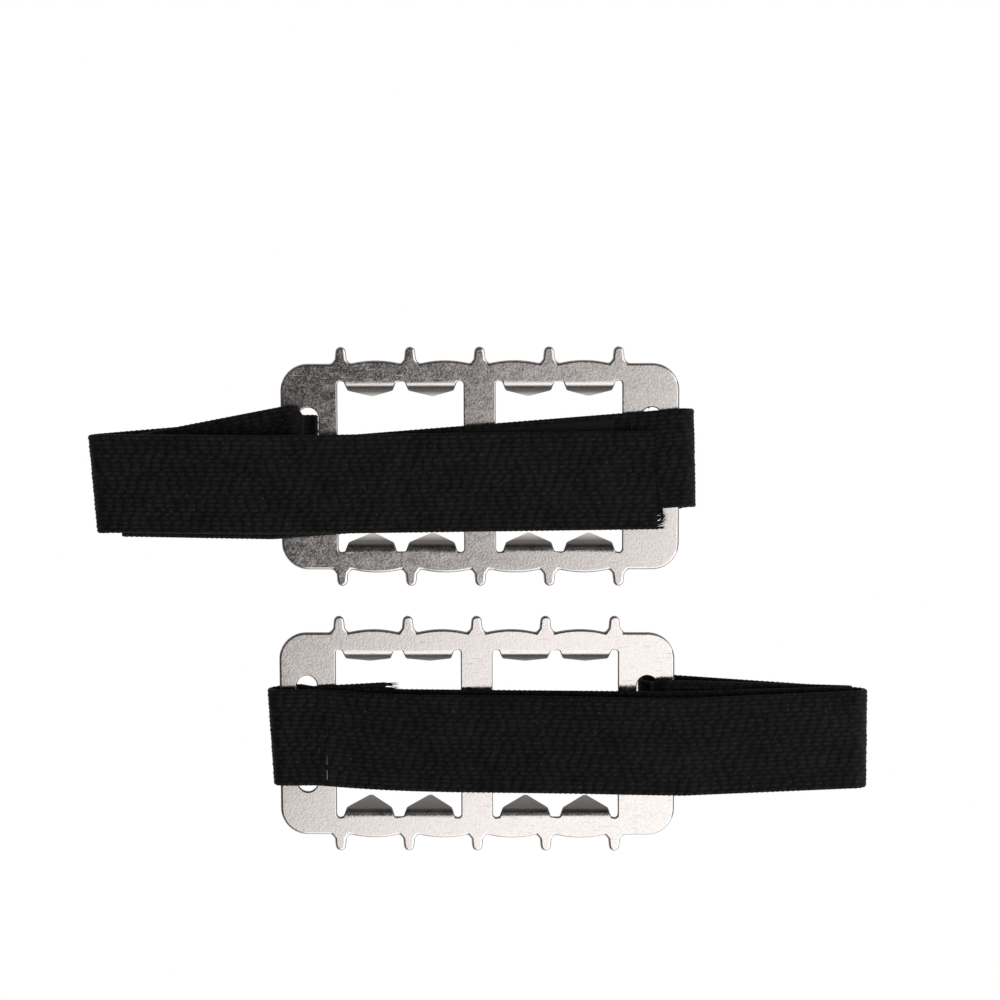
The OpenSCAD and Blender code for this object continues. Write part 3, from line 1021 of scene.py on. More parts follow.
class NodeSheet:
    """A small hand for laying out a node tree."""

    def __init__(self, tree: bpy.types.NodeTree) -> None:
        """Clears a tree.

        Args:
            tree: The tree to fill.
        """
        self.tree = tree
        tree.nodes.clear()

    def add(self, kind: str, settings: dict[str, object] | None = None,
            **sockets: object) -> bpy.types.Node:
        """Adds a node.

        Args:
            kind: The node's type.
            settings: Its own settings.
            **sockets: Values or links of its inputs, with _ for a space.

        Returns:
            The node.
        """
        made = self.tree.nodes.new(kind)
        for name, value in (settings or {}).items():
            setattr(made, name, value)
        for name, value in sockets.items():
            self.put(made.inputs[name.replace("_", " ")], value)
        return made

    def put(self, socket: bpy.types.NodeSocket, value: object) -> None:
        """Links a socket or sets its value.

        Args:
            socket: The input.
            value: An output to link, or a constant.
        """
        if isinstance(value, bpy.types.NodeSocket):
            self.tree.links.new(value, socket)
        else:
            socket.default_value = value

    def math(self, operation: str, first: object, second: object) -> bpy.types.NodeSocket:
        """Adds a sum of two values.

        Args:
            operation: Blender's name of the operation.
            first: An output or a constant.
            second: An output or a constant.

        Returns:
            The result.
        """
        made = self.add("ShaderNodeMath", {"operation": operation})
        self.put(made.inputs[0], first)
        self.put(made.inputs[1], second)
        return made.outputs[0]

    def spread(self, value: object, low: float, high: float, out_low: float,
               out_high: float) -> bpy.types.NodeSocket:
        """Maps a range to another and holds it there.

        Args:
            value: The value.
            low: Low end of its range.
            high: High end of its range.
            out_low: What the low end becomes.
            out_high: What the high end becomes.

        Returns:
            The mapped value.
        """
        made = self.add(
            "ShaderNodeMapRange", None, Value=value, From_Min=low, From_Max=high,
            To_Min=out_low, To_Max=out_high,
        )
        return made.outputs[0]

    def noise(self, vector: object, scale: float, detail: float) -> bpy.types.NodeSocket:
        """Adds a noise.

        Args:
            vector: Where it is read.
            scale: Its scale.
            detail: Its octaves.

        Returns:
            The noise's value.
        """
        made = self.add("ShaderNodeTexNoise", None, Vector=vector, Scale=scale, Detail=detail)
        return made.outputs[0]

    def stretched(self, vector: object, scale: Sequence[float], turn: float) -> bpy.types.NodeSocket:
        """Scales and turns a place.

        Args:
            vector: The place.
            scale: Scale on each axis.
            turn: Turn about Z in degrees.

        Returns:
            The new place.
        """
        made = self.add("ShaderNodeMapping", None, Vector=vector, Scale=scale)
        made.inputs["Rotation"].default_value = (0.0, 0.0, float(np.radians(turn)))
        return made.outputs[0]

    def blend(self, share: object, first: object, second: object) -> bpy.types.NodeSocket:
        """Mixes two colours.

        Args:
            share: How much of the second.
            first: A colour or an output.
            second: A colour or an output.

        Returns:
            The mixed colour.
        """
        made = self.add("ShaderNodeMix", {"data_type": "RGBA"})
        self.put(made.inputs[0], share)
        self.put(made.inputs[6], first)
        self.put(made.inputs[7], second)
        return made.outputs[2]

    def bump(self, height: object, strength: float) -> bpy.types.NodeSocket:
        """Adds a fine bump.

        Args:
            height: The height that it follows.
            strength: How much of it shows.

        Returns:
            The bumped normal.
        """
        made = self.add("ShaderNodeBump", None, Strength=strength, Distance=BUMP_DEPTH, Height=height)
        return made.outputs[0]


GroupParts = tuple[bpy.types.NodeTree, NodeSheet, bpy.types.Node, bpy.types.Node]


def node_group(name: str, inputs: dict[str, float | None], outputs: Sequence[str]) -> GroupParts:
    """Starts a shared node group.

    Args:
        name: The group's name.
        inputs: Names and defaults of its inputs; None makes a vector.
        outputs: Names of its values.

    Returns:
        The group, its sheet, and its input and output nodes.
    """
    tree = bpy.data.node_groups.new(name, "ShaderNodeTree")
    for label, default in inputs.items():
        kind = "NodeSocketVector" if default is None else "NodeSocketFloat"
        socket = tree.interface.new_socket(label, in_out="INPUT", socket_type=kind)
        if default is not None:
            socket.default_value = default
    for label in outputs:
        tree.interface.new_socket(label, in_out="OUTPUT", socket_type="NodeSocketFloat")
    sheet = NodeSheet(tree)
    return tree, sheet, sheet.add("NodeGroupInput"), sheet.add("NodeGroupOutput")


def material_sheet(name: str) -> tuple[bpy.types.Material, NodeSheet]:
    """Starts a material.

    Args:
        name: The material's name.

    Returns:
        The material and its empty sheet.
    """
    made = bpy.data.materials.new(name)
    made.use_nodes = True
    return made, NodeSheet(made.node_tree)


@dataclass(frozen=True)
class GrainLook:
    """The steel's tumbled grain: scale and octaves of its noises, and what they change."""

    speckle: Span = (2600.0, 3.0)
    mottle: Span = (420.0, 4.0)
    mark_scales: tuple[Triple, Triple] = ((260.0, 5200.0, 900.0), (240.0, 4700.0, 900.0))
    mark_turns: Span = (28.0, -54.0)
    mark_detail: float = 2.0
    mark_edge: Span = (0.70, 0.78)
    reach: Span = (0.3, 0.7)
    tint_reach: Span = (0.34, 0.66)
    speckle_rough: float = 0.07
    mottle_rough: float = 0.05
    speckle_tint: float = 0.7
    mottle_tint: float = 0.3


@dataclass(frozen=True)
class SteelLook:
    """The steel's colours, with painted shade for upright faces and the teeth's bends and a painted
    reflection near the teeth's tips, and where they change over a plate, in metres or as shares.
    """

    dark: Colour = (0.48, 0.454, 0.441, 1.0)
    light: Colour = (0.69, 0.663, 0.647, 1.0)
    # Painted shade for upright faces, darker and lighter with the grain
    wall_shade_dark: Colour = (0.13, 0.12, 0.114, 1.0)
    wall_shade_light: Colour = (0.22, 0.206, 0.197, 1.0)
    # Painted reflection of the bright floor, near the teeth's tips
    tip_reflection: Colour = (0.78, 0.75, 0.735, 1.0)
    grazing: Colour = (0.5, 0.48, 0.47, 1.0)
    roughness: float = 0.17
    row_y: float = 0.0275
    row_gap: Span = (-0.004, 0.004)
    fold_edge: Span = (0.0171, 0.0174)
    fold_face: Span = (0.88, 0.985)
    # How much painted shade the teeth's bends take
    fold_shade: float = 0.43
    fold_rough: float = 0.3
    wall_face: Span = (0.45, 0.75)
    tip_z: Span = (0.0015, 0.0055)
    tip_shares: Span = (0.1, 0.9)
    lean: Triple = (0.0147, -0.0088, 0.0)
    bump: float = 0.3


@dataclass(frozen=True)
class FibreLook:
    """The fibres, wear and sparse pale specks that all the cloth shares."""

    line_scale: Triple = (700.0, 9000.0, 1.0)
    line_detail: float = 3.0
    wear: Span = (160.0, 3.0)
    specks: Span = (1700.0, 1.0)
    reach: Span = (0.3, 0.7)
    line_shade: float = 0.3
    wear_shade: float = 0.15
    # Where sparse pale specks show, and their colour
    speck_edge: Span = (0.70, 0.80)
    speck_tint: Colour = (0.045, 0.043, 0.042, 1.0)
    shine: float = 0.09
    sheen_roughness: float = 0.4
    bump: float = 0.6


@dataclass(frozen=True)
class ClothLook:
    """Colours, sheen and half the height range of one kind of cloth; the dark colour is painted shade in
    the relief's troughs and the light one its crests, or a thread's worn tone.
    """

    dark: Colour
    light: Colour
    roughness: float
    sheen: float
    reach: float


GRAIN = GrainLook()
STEEL = SteelLook()
FIBRE = FibreLook()
# For webbing and tape, dark is painted shade in the relief's troughs and light the crests; for threads
# they span the worn tone
WEBBING_LOOK = ClothLook(
    dark=(0.0004, 0.0004, 0.0004, 1.0), light=(0.0125, 0.0125, 0.0125, 1.0),
    roughness=0.7, sheen=0.02, reach=0.1,
)
TAPE_LOOK = ClothLook(
    dark=(0.004, 0.004, 0.004, 1.0), light=(0.014, 0.014, 0.015, 1.0),
    roughness=0.7, sheen=0.2, reach=0.1,
)
THREAD_LOOK = ClothLook(
    dark=(0.003, 0.003, 0.003, 1.0), light=(0.012, 0.012, 0.012, 1.0),
    roughness=0.6, sheen=0.02, reach=1.0,
)
SEAM_LOOK = ClothLook(
    dark=(0.004, 0.004, 0.004, 1.0), light=(0.13, 0.13, 0.135, 1.0),
    roughness=0.6, sheen=0.05, reach=1.0,
)
WHITE: Colour = (1.0, 1.0, 1.0, 1.0)


class Materials:
    """The part's materials, made once."""

    def __init__(self) -> None:
        """Makes the shared groups and every material."""
        self.grain = self._grain_group()
        self.fibre = self._fibre_group()
        self.steel = self._steel()
        self.webbing = self._cloth("black_webbing", WEBBING_LOOK)
        self.tape = self._cloth("tape_ground", TAPE_LOOK)
        self.thread = self._cloth("black_thread", THREAD_LOOK)
        self.seam = self._cloth("worn_thread", SEAM_LOOK)
        self.floor = self._floor()

    @staticmethod
    def _grain_group() -> bpy.types.NodeTree:
        """Tumbled metal: speckle, mottling and short scratches.

        Returns:
            The group.
        """
        tree, sheet, given, result = node_group(
            "tumbled_grain", {"Place": None, "Grain": 1.0, "Scratches": 1.0},
            ("Tint", "Roughness", "Height"),
        )
        place, grain = given.outputs["Place"], given.outputs["Grain"]
        speckle = sheet.noise(place, *GRAIN.speckle)
        mottle = sheet.noise(place, *GRAIN.mottle)
        marks = [
            sheet.noise(sheet.stretched(place, scale, turn), 1.0, GRAIN.mark_detail)
            for scale, turn in zip(GRAIN.mark_scales, GRAIN.mark_turns)
        ]
        marked = sheet.spread(sheet.math("MAXIMUM", *marks), *GRAIN.mark_edge, 0.0, 1.0)
        scratch = sheet.math("MULTIPLY", marked, given.outputs["Scratches"])
        rough = sheet.math(
            "ADD",
            sheet.spread(speckle, *GRAIN.reach, -GRAIN.speckle_rough, GRAIN.speckle_rough),
            sheet.spread(mottle, *GRAIN.reach, -GRAIN.mottle_rough, GRAIN.mottle_rough),
        )
        shade = sheet.math(
            "ADD",
            sheet.spread(speckle, *GRAIN.tint_reach, 0.0, GRAIN.speckle_tint),
            sheet.spread(mottle, *GRAIN.reach, 0.0, GRAIN.mottle_tint),
        )
        relief = sheet.math("SUBTRACT", sheet.math("MULTIPLY", speckle, grain), scratch)
        sheet.put(result.inputs["Roughness"], sheet.math("MULTIPLY", rough, grain))
        sheet.put(result.inputs["Tint"], sheet.math("MULTIPLY", shade, grain))
        sheet.put(result.inputs["Height"], relief)
        return tree

    @staticmethod
    def _fibre_group() -> bpy.types.NodeTree:
        """Fine fibres that run along a thread, worn patches and sparse pale specks.

        Returns:
            The group.
        """
        tree, sheet, given, result = node_group(
            "thread_fibres", {"Place": None, "Strength": 1.0}, ("Shade", "Height", "Pale_specks")
        )
        place, strength = given.outputs["Place"], given.outputs["Strength"]
        lines = sheet.noise(sheet.stretched(place, FIBRE.line_scale, 0.0), 1.0, FIBRE.line_detail)
        wear = sheet.noise(place, *FIBRE.wear)
        specks = sheet.noise(place, *FIBRE.specks)
        shade = sheet.math(
            "ADD",
            sheet.spread(lines, *FIBRE.reach, -FIBRE.line_shade, FIBRE.line_shade),
            sheet.spread(wear, *FIBRE.reach, -FIBRE.wear_shade, FIBRE.wear_shade),
        )
        sheet.put(result.inputs["Shade"], sheet.math("MULTIPLY", shade, strength))
        sheet.put(result.inputs["Height"], sheet.math("MULTIPLY", lines, strength))
        # Sparse pale specks where a noise runs high
        sheet.put(result.inputs["Pale_specks"], sheet.spread(specks, *FIBRE.speck_edge, 0.0, 1.0))
        return tree

    def _steel(self) -> bpy.types.Material:
        """Satin tumbled stainless steel, with painted shade on upright faces and the teeth's bends and a
        painted reflection towards the teeth's tips.

        Returns:
            The material.
        """
        made, sheet = material_sheet("tumbled_stainless")
        own = sheet.add("ShaderNodeTexCoord")
        grain = sheet.add("ShaderNodeGroup", {"node_tree": self.grain}, Place=own.outputs["Object"])
        where = sheet.add("ShaderNodeSeparateXYZ", None, Vector=own.outputs["Object"])
        facing = sheet.add("ShaderNodeSeparateXYZ", None, Vector=own.outputs["Normal"])
        upright = sheet.math("ABSOLUTE", facing.outputs["Z"], 0.0)

        # The teeth's bends, told by their place inside a plate's rim and by their slope, get painted shade
        # and more roughness
        row = where.outputs["Y"]
        off_row = sheet.math("SUBTRACT", sheet.math("ABSOLUTE", row, 0.0), STEEL.row_y)
        aside = sheet.math("ABSOLUTE", off_row, 0.0)
        inside = sheet.spread(aside, *STEEL.fold_edge, 1.0, 0.0)
        drawn = sheet.math("MULTIPLY", inside, sheet.spread(upright, *STEEL.fold_face, 1.0, 0.0))
        # Painted shade: the bends count as steeper, so they take the darker wall colour sooner
        level = sheet.math("SUBTRACT", upright, sheet.math("MULTIPLY", drawn, STEEL.fold_shade))
        satin = sheet.math("ADD", grain.outputs["Roughness"], STEEL.roughness)
        rough = sheet.math("ADD", satin, sheet.math("MULTIPLY", drawn, STEEL.fold_rough))

        # Colours of the flat faces, and a painted shade on upright walls that gives way to a painted
        # reflection towards the tips
        flat = sheet.blend(grain.outputs["Tint"], STEEL.dark, STEEL.light)
        # Painted shade: upright faces take a darker colour by their slope
        side = sheet.blend(grain.outputs["Tint"], STEEL.wall_shade_dark, STEEL.wall_shade_light)
        # Painted reflection: walls grow paler towards the tips, more on one plate than the other
        tip_reflection = sheet.spread(where.outputs["Z"], *STEEL.tip_z, 1.0, 0.0)
        tip_reflection_share = sheet.math("MULTIPLY", tip_reflection, sheet.spread(row, *STEEL.row_gap, *STEEL.tip_shares))
        wall_shade_and_reflection = sheet.blend(tip_reflection_share, side, STEEL.tip_reflection)
        tint = sheet.blend(sheet.spread(level, *STEEL.wall_face, 0.0, 1.0), wall_shade_and_reflection, flat)

        # The two plates lean a little, each its own way
        turned = sheet.spread(row, *STEEL.row_gap, 1.0, -1.0)
        lean = sheet.add("ShaderNodeVectorMath", {"operation": "SCALE"}, Scale=turned)
        sheet.put(lean.inputs[0], STEEL.lean)
        seated = sheet.add("ShaderNodeVectorMath", {"operation": "ADD"})
        sheet.put(seated.inputs[0], sheet.bump(grain.outputs["Height"], STEEL.bump))
        sheet.put(seated.inputs[1], lean.outputs[0])
        skin = sheet.add(
            "ShaderNodeBsdfPrincipled", None, Base_Color=tint, Metallic=1.0,
            Specular_Tint=STEEL.grazing, Roughness=rough, Normal=seated.outputs[0],
        )
        sheet.add("ShaderNodeOutputMaterial", None, Surface=skin.outputs[0])
        return made

    def _cloth(self, name: str, look: ClothLook) -> bpy.types.Material:
        """Woven cloth or thread, with painted shade in the troughs of its relief; on threads the relief
        layer holds a worn tone instead.

        Args:
            name: The material's name.
            look: Its colours and sheen.

        Returns:
            The material.
        """
        made, sheet = material_sheet(name)
        place = sheet.add("ShaderNodeUVMap", {"uv_map": CLOTH_MAP}).outputs[0]
        fibre = sheet.add("ShaderNodeGroup", {"node_tree": self.fibre}, Place=place)
        height = sheet.add("ShaderNodeAttribute", {"attribute_name": RELIEF_LAYER}).outputs["Fac"]
        # Painted shade: troughs of the relief take the dark colour, crests the light one; a thread's
        # relief layer holds its worn tone
        crest = sheet.spread(height, -look.reach, look.reach, 0.0, 1.0)
        share = sheet.math("ADD", crest, fibre.outputs["Shade"])
        before_specks = sheet.blend(share, look.dark, look.light)
        # Sparse pale specks over the cloth
        tint = sheet.blend(fibre.outputs["Pale_specks"], before_specks, FIBRE.speck_tint)
        skin = sheet.add(
            "ShaderNodeBsdfPrincipled", None, Base_Color=tint, Roughness=look.roughness,
            Specular_IOR_Level=FIBRE.shine, Sheen_Weight=look.sheen,
            Sheen_Roughness=FIBRE.sheen_roughness,
            Normal=sheet.bump(fibre.outputs["Height"], FIBRE.bump),
        )
        sheet.add("ShaderNodeOutputMaterial", None, Surface=skin.outputs[0])
        return made

    @staticmethod
    def _floor() -> bpy.types.Material:
        """A plain white studio floor.

        Returns:
            The material.
        """
        made, sheet = material_sheet("white_floor")
        glow = sheet.add("ShaderNodeEmission", None, Color=WHITE, Strength=1.0)
        sheet.add("ShaderNodeOutputMaterial", None, Surface=glow.outputs[0])
        return made


# Pieces


class CleatDresser:
    """Makes the visible pieces of one cleat over its CAD nodes."""

    def __init__(self, cleat: Cleat, nodes: dict[str, bpy.types.Object], materials: Materials) -> None:
        """Keeps what the pieces are made from.

        Args:
            cleat: The cleat.
            nodes: The CAD nodes by name.
            materials: The part's materials.
        """
        self.cleat = cleat
        self.nodes = nodes
        self.materials = materials
        self.route = StrapRoute(cleat.lay)
        base = WEBBING.thick - WEBBING.rise
        spacing = WEBBING.row / WEBBING.row_points
        self.section = Section.flat(WEBBING.width, base, spacing, WEBBING.edge_points)
        self.chance = np.random.default_rng(SEED + cleat.turned)

    def dress(self) -> None:
        """Makes every piece of the cleat."""
        self.plate()
        self.loop_webbing()
        self.sewn_webbing()
        self.free_webbing()
        self.seam()
        for pile in (LOOP_PILE, HOOK_PILE):
            self.tape(pile)
            self.tape_stitches(pile)
        self.frayed_ends()

    def settle(self, made: bpy.types.Object, slot: Slot, body: str, *parts: str) -> None:
        """Lets a piece ride on a body and stand for CAD nodes.

        Args:
            made: The piece.
            slot: Its material slot; not used.
            body: The body it rides on, without the cleat's name.
            *parts: The CAD nodes it stands for, without the cleat's name.
        """
        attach(made, self.cleat.node(body))
        if parts:
            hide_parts(*[self.cleat.node(part) for part in parts])

    def bridge(self, made: bpy.types.Object, bodies: tuple[str, str], span: tuple[float, float],
               *parts: str) -> None:
        """Fixes a webbing piece where it lies and lets it stand for CAD nodes.

        Args:
            made: The piece.
            bodies: The two bodies, without the cleat's name.
            span: Where along the plate the bend starts and ends.
            *parts: The CAD nodes it stands for, without the cleat's name.
        """
        ends = self.cleat.to_row(np.array([[span[0], 0.0, 0.0], [span[1], 0.0, 0.0]]))
        first, second = (self.cleat.node(body) for body in bodies)
        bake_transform(made)
        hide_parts(*[self.cleat.node(part) for part in parts])

    def on_outline(self, edge: bmesh.types.BMEdge) -> bool:
        """Tells the plate's outline from the edges of its windows, slots and teeth.

        Args:
            edge: An edge of the plate.

        Returns:
            Whether it is on the outline.
        """
        middle = (edge.verts[0].co + edge.verts[1].co) / (2 * MM)
        along = abs(middle.x - self.cleat.origin[0]) / PLATE.length
        across = abs(middle.y - self.cleat.origin[1]) / PLATE.width
        return max(along, across) > PLATE.outline_share

    def part_flats(self, shape: bmesh.types.BMesh) -> None:
        """Cuts the plate's flat faces across its bars, so that none of them has a hole.

        Args:
            shape: The plate.
        """
        middle = Vector((*self.cleat.origin, 0.0))
        cuts = [(Vector((1.0, 0.0, 0.0)), place) for place in PLATE.flat_cuts]
        for facing, place in [*cuts, (Vector((0.0, 1.0, 0.0)), 0.0)]:
            whole = [*shape.verts, *shape.edges, *shape.faces]
            cut = bmesh.ops.bisect_plane(
                shape, geom=whole, plane_co=(middle + facing * place) * MM, plane_no=facing
            )
            for edge in cut["geom_cut"]:
                if isinstance(edge, bmesh.types.BMEdge):
                    edge.seam = True

    def plate(self) -> None:
        """The stamped plate, its edges rounded as by tumbling, most on its outline."""
        shape = bmesh.new()
        shape.from_mesh(self.nodes[self.cleat.node("spike_plate")].data)
        bmesh.ops.remove_doubles(shape, verts=shape.verts, dist=PLATE.merge * MM)
        self.part_flats(shape)
        bmesh.ops.dissolve_degenerate(shape, edges=shape.edges, dist=PLATE.sliver * MM)
        bmesh.ops.dissolve_limit(
            shape, angle_limit=float(np.radians(PLATE.flat_angle)), verts=shape.verts,
            edges=shape.edges, delimit={"SEAM"},
        )
        share = shape.edges.layers.float.new("bevel_weight_edge")
        sharp = np.radians(PLATE.sharp_angle)
        for edge in shape.edges:
            if edge.calc_face_angle(0.0) > sharp:
                edge[share] = 1.0 if self.on_outline(edge) else PLATE.inner_share
        mesh = bpy.data.meshes.new(self.cleat.node("plate_skin"))
        shape.to_mesh(mesh)
        shape.free()
        mesh.polygons.foreach_set("use_smooth", np.ones(len(mesh.polygons), dtype=bool))
        mesh.materials.clear()
        mesh.materials.append(self.materials.steel)
        made = shown(mesh.name, mesh)
        self.round_edges(made)
        self.settle(made, Slot.STEEL, "cleat", "spike_plate")
        LOG.info("%s: %d faces before rounding", made.name, len(mesh.polygons))

    @staticmethod
    def round_edges(made: bpy.types.Object) -> None:
        """Rounds a plate's edges by their weights and evens its flat faces.

        Args:
            made: The plate.
        """
        rounding = made.modifiers.new("tumbled_edges", "BEVEL")
        rounding.width = PLATE.outline_round * MM
        rounding.segments = PLATE.round_steps
        rounding.limit_method = "WEIGHT"
        rounding.loop_slide = False
        rounding.use_clamp_overlap = False
        evening = made.modifiers.new("flat_faces", "WEIGHTED_NORMAL")
        evening.mode = "FACE_AREA"
        evening.weight = PLATE.flat_weight

    def webbing(self, name: str, span: tuple[float, float], held: Held) -> bpy.types.Object:
        """Args:
            name: The piece's name, without the cleat's.
            span: Distances along the strap where it starts and ends.
            held: How it is held; not used.

        Returns:
            The piece.
        """
        along, rows = self.route.stretch(*span)
        data = MeshData.ribbon(self.cleat, along, rows, self.section, Relief.weave)
        made = data.to_object(self.cleat.node(name), self.materials.webbing)
        self.cleat.node("plate_skin")
        return made

    def loop_webbing(self) -> None:
        """The folded end round the slotted bar."""
        made = self.webbing("loop_webbing", (self.route.loop_at, self.route.sewn_at), Held.FOLDED)
        self.settle(made, Slot.WEBBING, "loop", "outer_fold", "bar_bend", "inner_fold")

    def sewn_webbing(self) -> None:
        """The sewn run with its loop round the far bar."""
        made = self.webbing("sewn_webbing", (self.route.sewn_at, self.route.length), Held.FOLDED)
        crease = (PLATE.cut_x, PLATE.run_x)
        self.bridge(made, ("loop", "cleat"), crease, "sewn_crease", "sewn_run")

    def free_webbing(self) -> None:
        """The free run, and on the upper cleat the flap that peels off it."""
        crease = (PLATE.cut_x, PLATE.run_x)
        route = self.route
        if self.cleat.lay.sewn_on_top:
            made = self.webbing("free_webbing", (0.0, route.loop_at), Held.LAID)
            self.bridge(made, ("loop", "cleat"), crease, "free_crease", "free_run")
            return
        made = self.webbing("root_webbing", (route.root_at, route.loop_at), Held.LAID)
        self.bridge(made, ("loop", "cleat"), crease, "free_crease", "flap_root")
        made = self.webbing("flap_webbing", (0.0, route.root_at), Held.LAID)
        start = PLATE.flap_x - PLATE.flap_bend / 2
        span = (start, start + PLATE.flap_bend)
        self.bridge(made, ("cleat", "flap"), span, "flap_bend", "flap")

    def stitches(self, stations: Array, side: int, turned: bool, crest: float,
                 tone: Array | None = None) -> MeshData:
        """Stitches that bow over a face of the webbing and dive into it at both ends.

        Args:
            stations: The middle of each stitch, as rows of x, y, z, tilt and pitch.
            side: The face, 1 for the upper and -1 for the lower.
            turned: Whether a stitch runs across the webbing.
            crest: Height of its middle over the face.
            tone: How light each stitch is, from -1 to 1.

        Returns:
            The threads.
        """
        across, out, along = frames(stations)
        run = across if turned else along
        reach = np.linspace(-1.0, 1.0, STITCH.points)
        bow = side * (WEBBING.thick / 2 + crest - STITCH.dive * reach**4)
        paths = (
            stations[:, None, :3]
            + run[:, None, :] * (reach * STITCH.length / 2)[None, :, None]
            + out[:, None, :] * bow[None, :, None]
        )
        radii = np.full(len(reach), STITCH.thread / 2)
        radii[[0, -1]] *= STITCH.taper
        return MeshData.tubes(self.cleat, paths, radii, STITCH.sides, tone)

    def seam(self) -> None:
        """The seam that closes the sewn loop, worn light at one end on the lower cleat."""
        count = int((WEBBING.width - STITCH.length) // STITCH.pitch) + 1
        rows = np.repeat(self.route.sewn_station(PLATE.seam_x), count, axis=0)
        rows[:, SIDE_COLUMN] += (np.arange(count) - (count - 1) / 2) * STITCH.pitch
        lightest = STITCH.worn_end if self.cleat.turned else STITCH.kept_end
        worn = np.clip(np.linspace(STITCH.dark_end, lightest, count), -1.0, 1.0)
        threads = self.stitches(rows, 1, True, STITCH.seam_crest, worn)
        made = threads.to_object(self.cleat.node("seam_thread"), self.materials.seam)
        self.settle(made, Slot.SEAM, "cleat", "bar_seam")

    def body_of_tape(self, on_sewn: bool) -> str:
        """The body that a tape rides on.

        Args:
            on_sewn: True for the loop tape on the sewn run.

        Returns:
            The body's name without the cleat's.
        """
        return "cleat" if on_sewn or self.cleat.lay.sewn_on_top else "flap"

    def tape(self, pile: Pile) -> None:
        """A sewn tape: a woven ground with soft loops or stiff hooks on it.

        Args:
            pile: What stands on it.
        """
        side = self.route.tape_side(pile.on_sewn)
        span = self.route.tape_span(pile.on_sewn)
        ground = TAPE.ground_share * TAPE.thick
        ends = np.vstack([self.route.run_station(pile.on_sewn, x) for x in span])
        out = frames(ends)[1]
        ends[:, :3] += out * side * (WEBBING.thick + ground) / 2
        section = Section.flat(TAPE.width, ground - TAPE.ground_rise, TAPE.grid, TAPE.edge_points)
        along, rows = resample(ends, TAPE.grid)
        data = MeshData.ribbon(self.cleat, along, rows, section, Relief.ground)
        paths = self.pile_paths(pile, ends, side * ground / 2, side)
        radii = np.full(TAPE.pile_points, pile.wire)
        data = data.joined(MeshData.tubes(self.cleat, paths, radii, TAPE.pile_sides))
        part = f"{pile.name}_tape"
        made = data.to_object(self.cleat.node(f"{part}_pile"), self.materials.tape)
        self.settle(made, Slot.TAPE, self.body_of_tape(pile.on_sewn), part)

    def pile_paths(self, pile: Pile, ends: Array, foot: float, side: int) -> Array:
        """Centre lines of the loops or hooks that stand on a tape.

        Each is an arch on a grid of feet; loops face any way, and hooks all the same.

        Args:
            pile: The loops or hooks.
            ends: The tape's two end stations.
            foot: Height of the ground over the tape's middle.
            side: The face that they stand on.

        Returns:
            Points, as threads by points by three.
        """
        length = np.linalg.norm(ends[1, :3] - ends[0, :3])
        lines = np.arange(pile.pitch, length - pile.pitch / 2, pile.pitch) / length
        edge = TAPE.width / 2 - TAPE.pile_margin
        rows = np.arange(-edge, edge, pile.pitch)
        share, aside = (grid.reshape(-1) for grid in np.meshgrid(lines, rows, indexing="ij"))
        across, out, along = (vectors[0] for vectors in frames(ends))
        heading = np.zeros(len(share))
        if pile.on_sewn:
            heading = self.chance.uniform(0.0, 2 * np.pi, len(share))
        turn = np.linspace(0.0, np.pi, TAPE.pile_points)
        tall = TAPE.pile_share * TAPE.thick
        lean = -np.cos(turn) * pile.reach
        rise = np.sin(turn * pile.curl) * tall
        feet = ends[0, :3] + (ends[1, :3] - ends[0, :3]) * share[:, None] + across * aside[:, None]
        sway = along * np.cos(heading)[:, None] + across * np.sin(heading)[:, None]
        return (
            feet[:, None, :]
            + sway[:, None, :] * lean[None, :, None]
            + out * (foot + side * rise)[None, :, None]
        )

    def tape_stitches(self, pile: Pile) -> None:
        """The two rows of stitches that hold a tape.

        Args:
            pile: What stands on the tape.
        """
        start, stop = self.route.tape_span(pile.on_sewn)
        count = int((stop - start - STITCH.length) // STITCH.pitch)
        first = (start + stop - count * STITCH.pitch) / 2
        row_y = TAPE.width / 2 - STITCH.inset
        places = first + np.arange(count + 1) * STITCH.pitch
        row = np.vstack([self.route.run_station(pile.on_sewn, x) for x in places])
        rows = np.vstack([row + [0.0, y, 0.0, 0.0, 0.0] for y in (-row_y, row_y)])
        side = -self.route.tape_side(pile.on_sewn)
        threads = self.stitches(rows, side, False, STITCH.tape_crest)
        part = f"{pile.name}_stitching"
        made = threads.to_object(self.cleat.node(f"{part}_thread"), self.materials.thread)
        self.settle(made, Slot.THREAD, self.body_of_tape(pile.on_sewn), part)

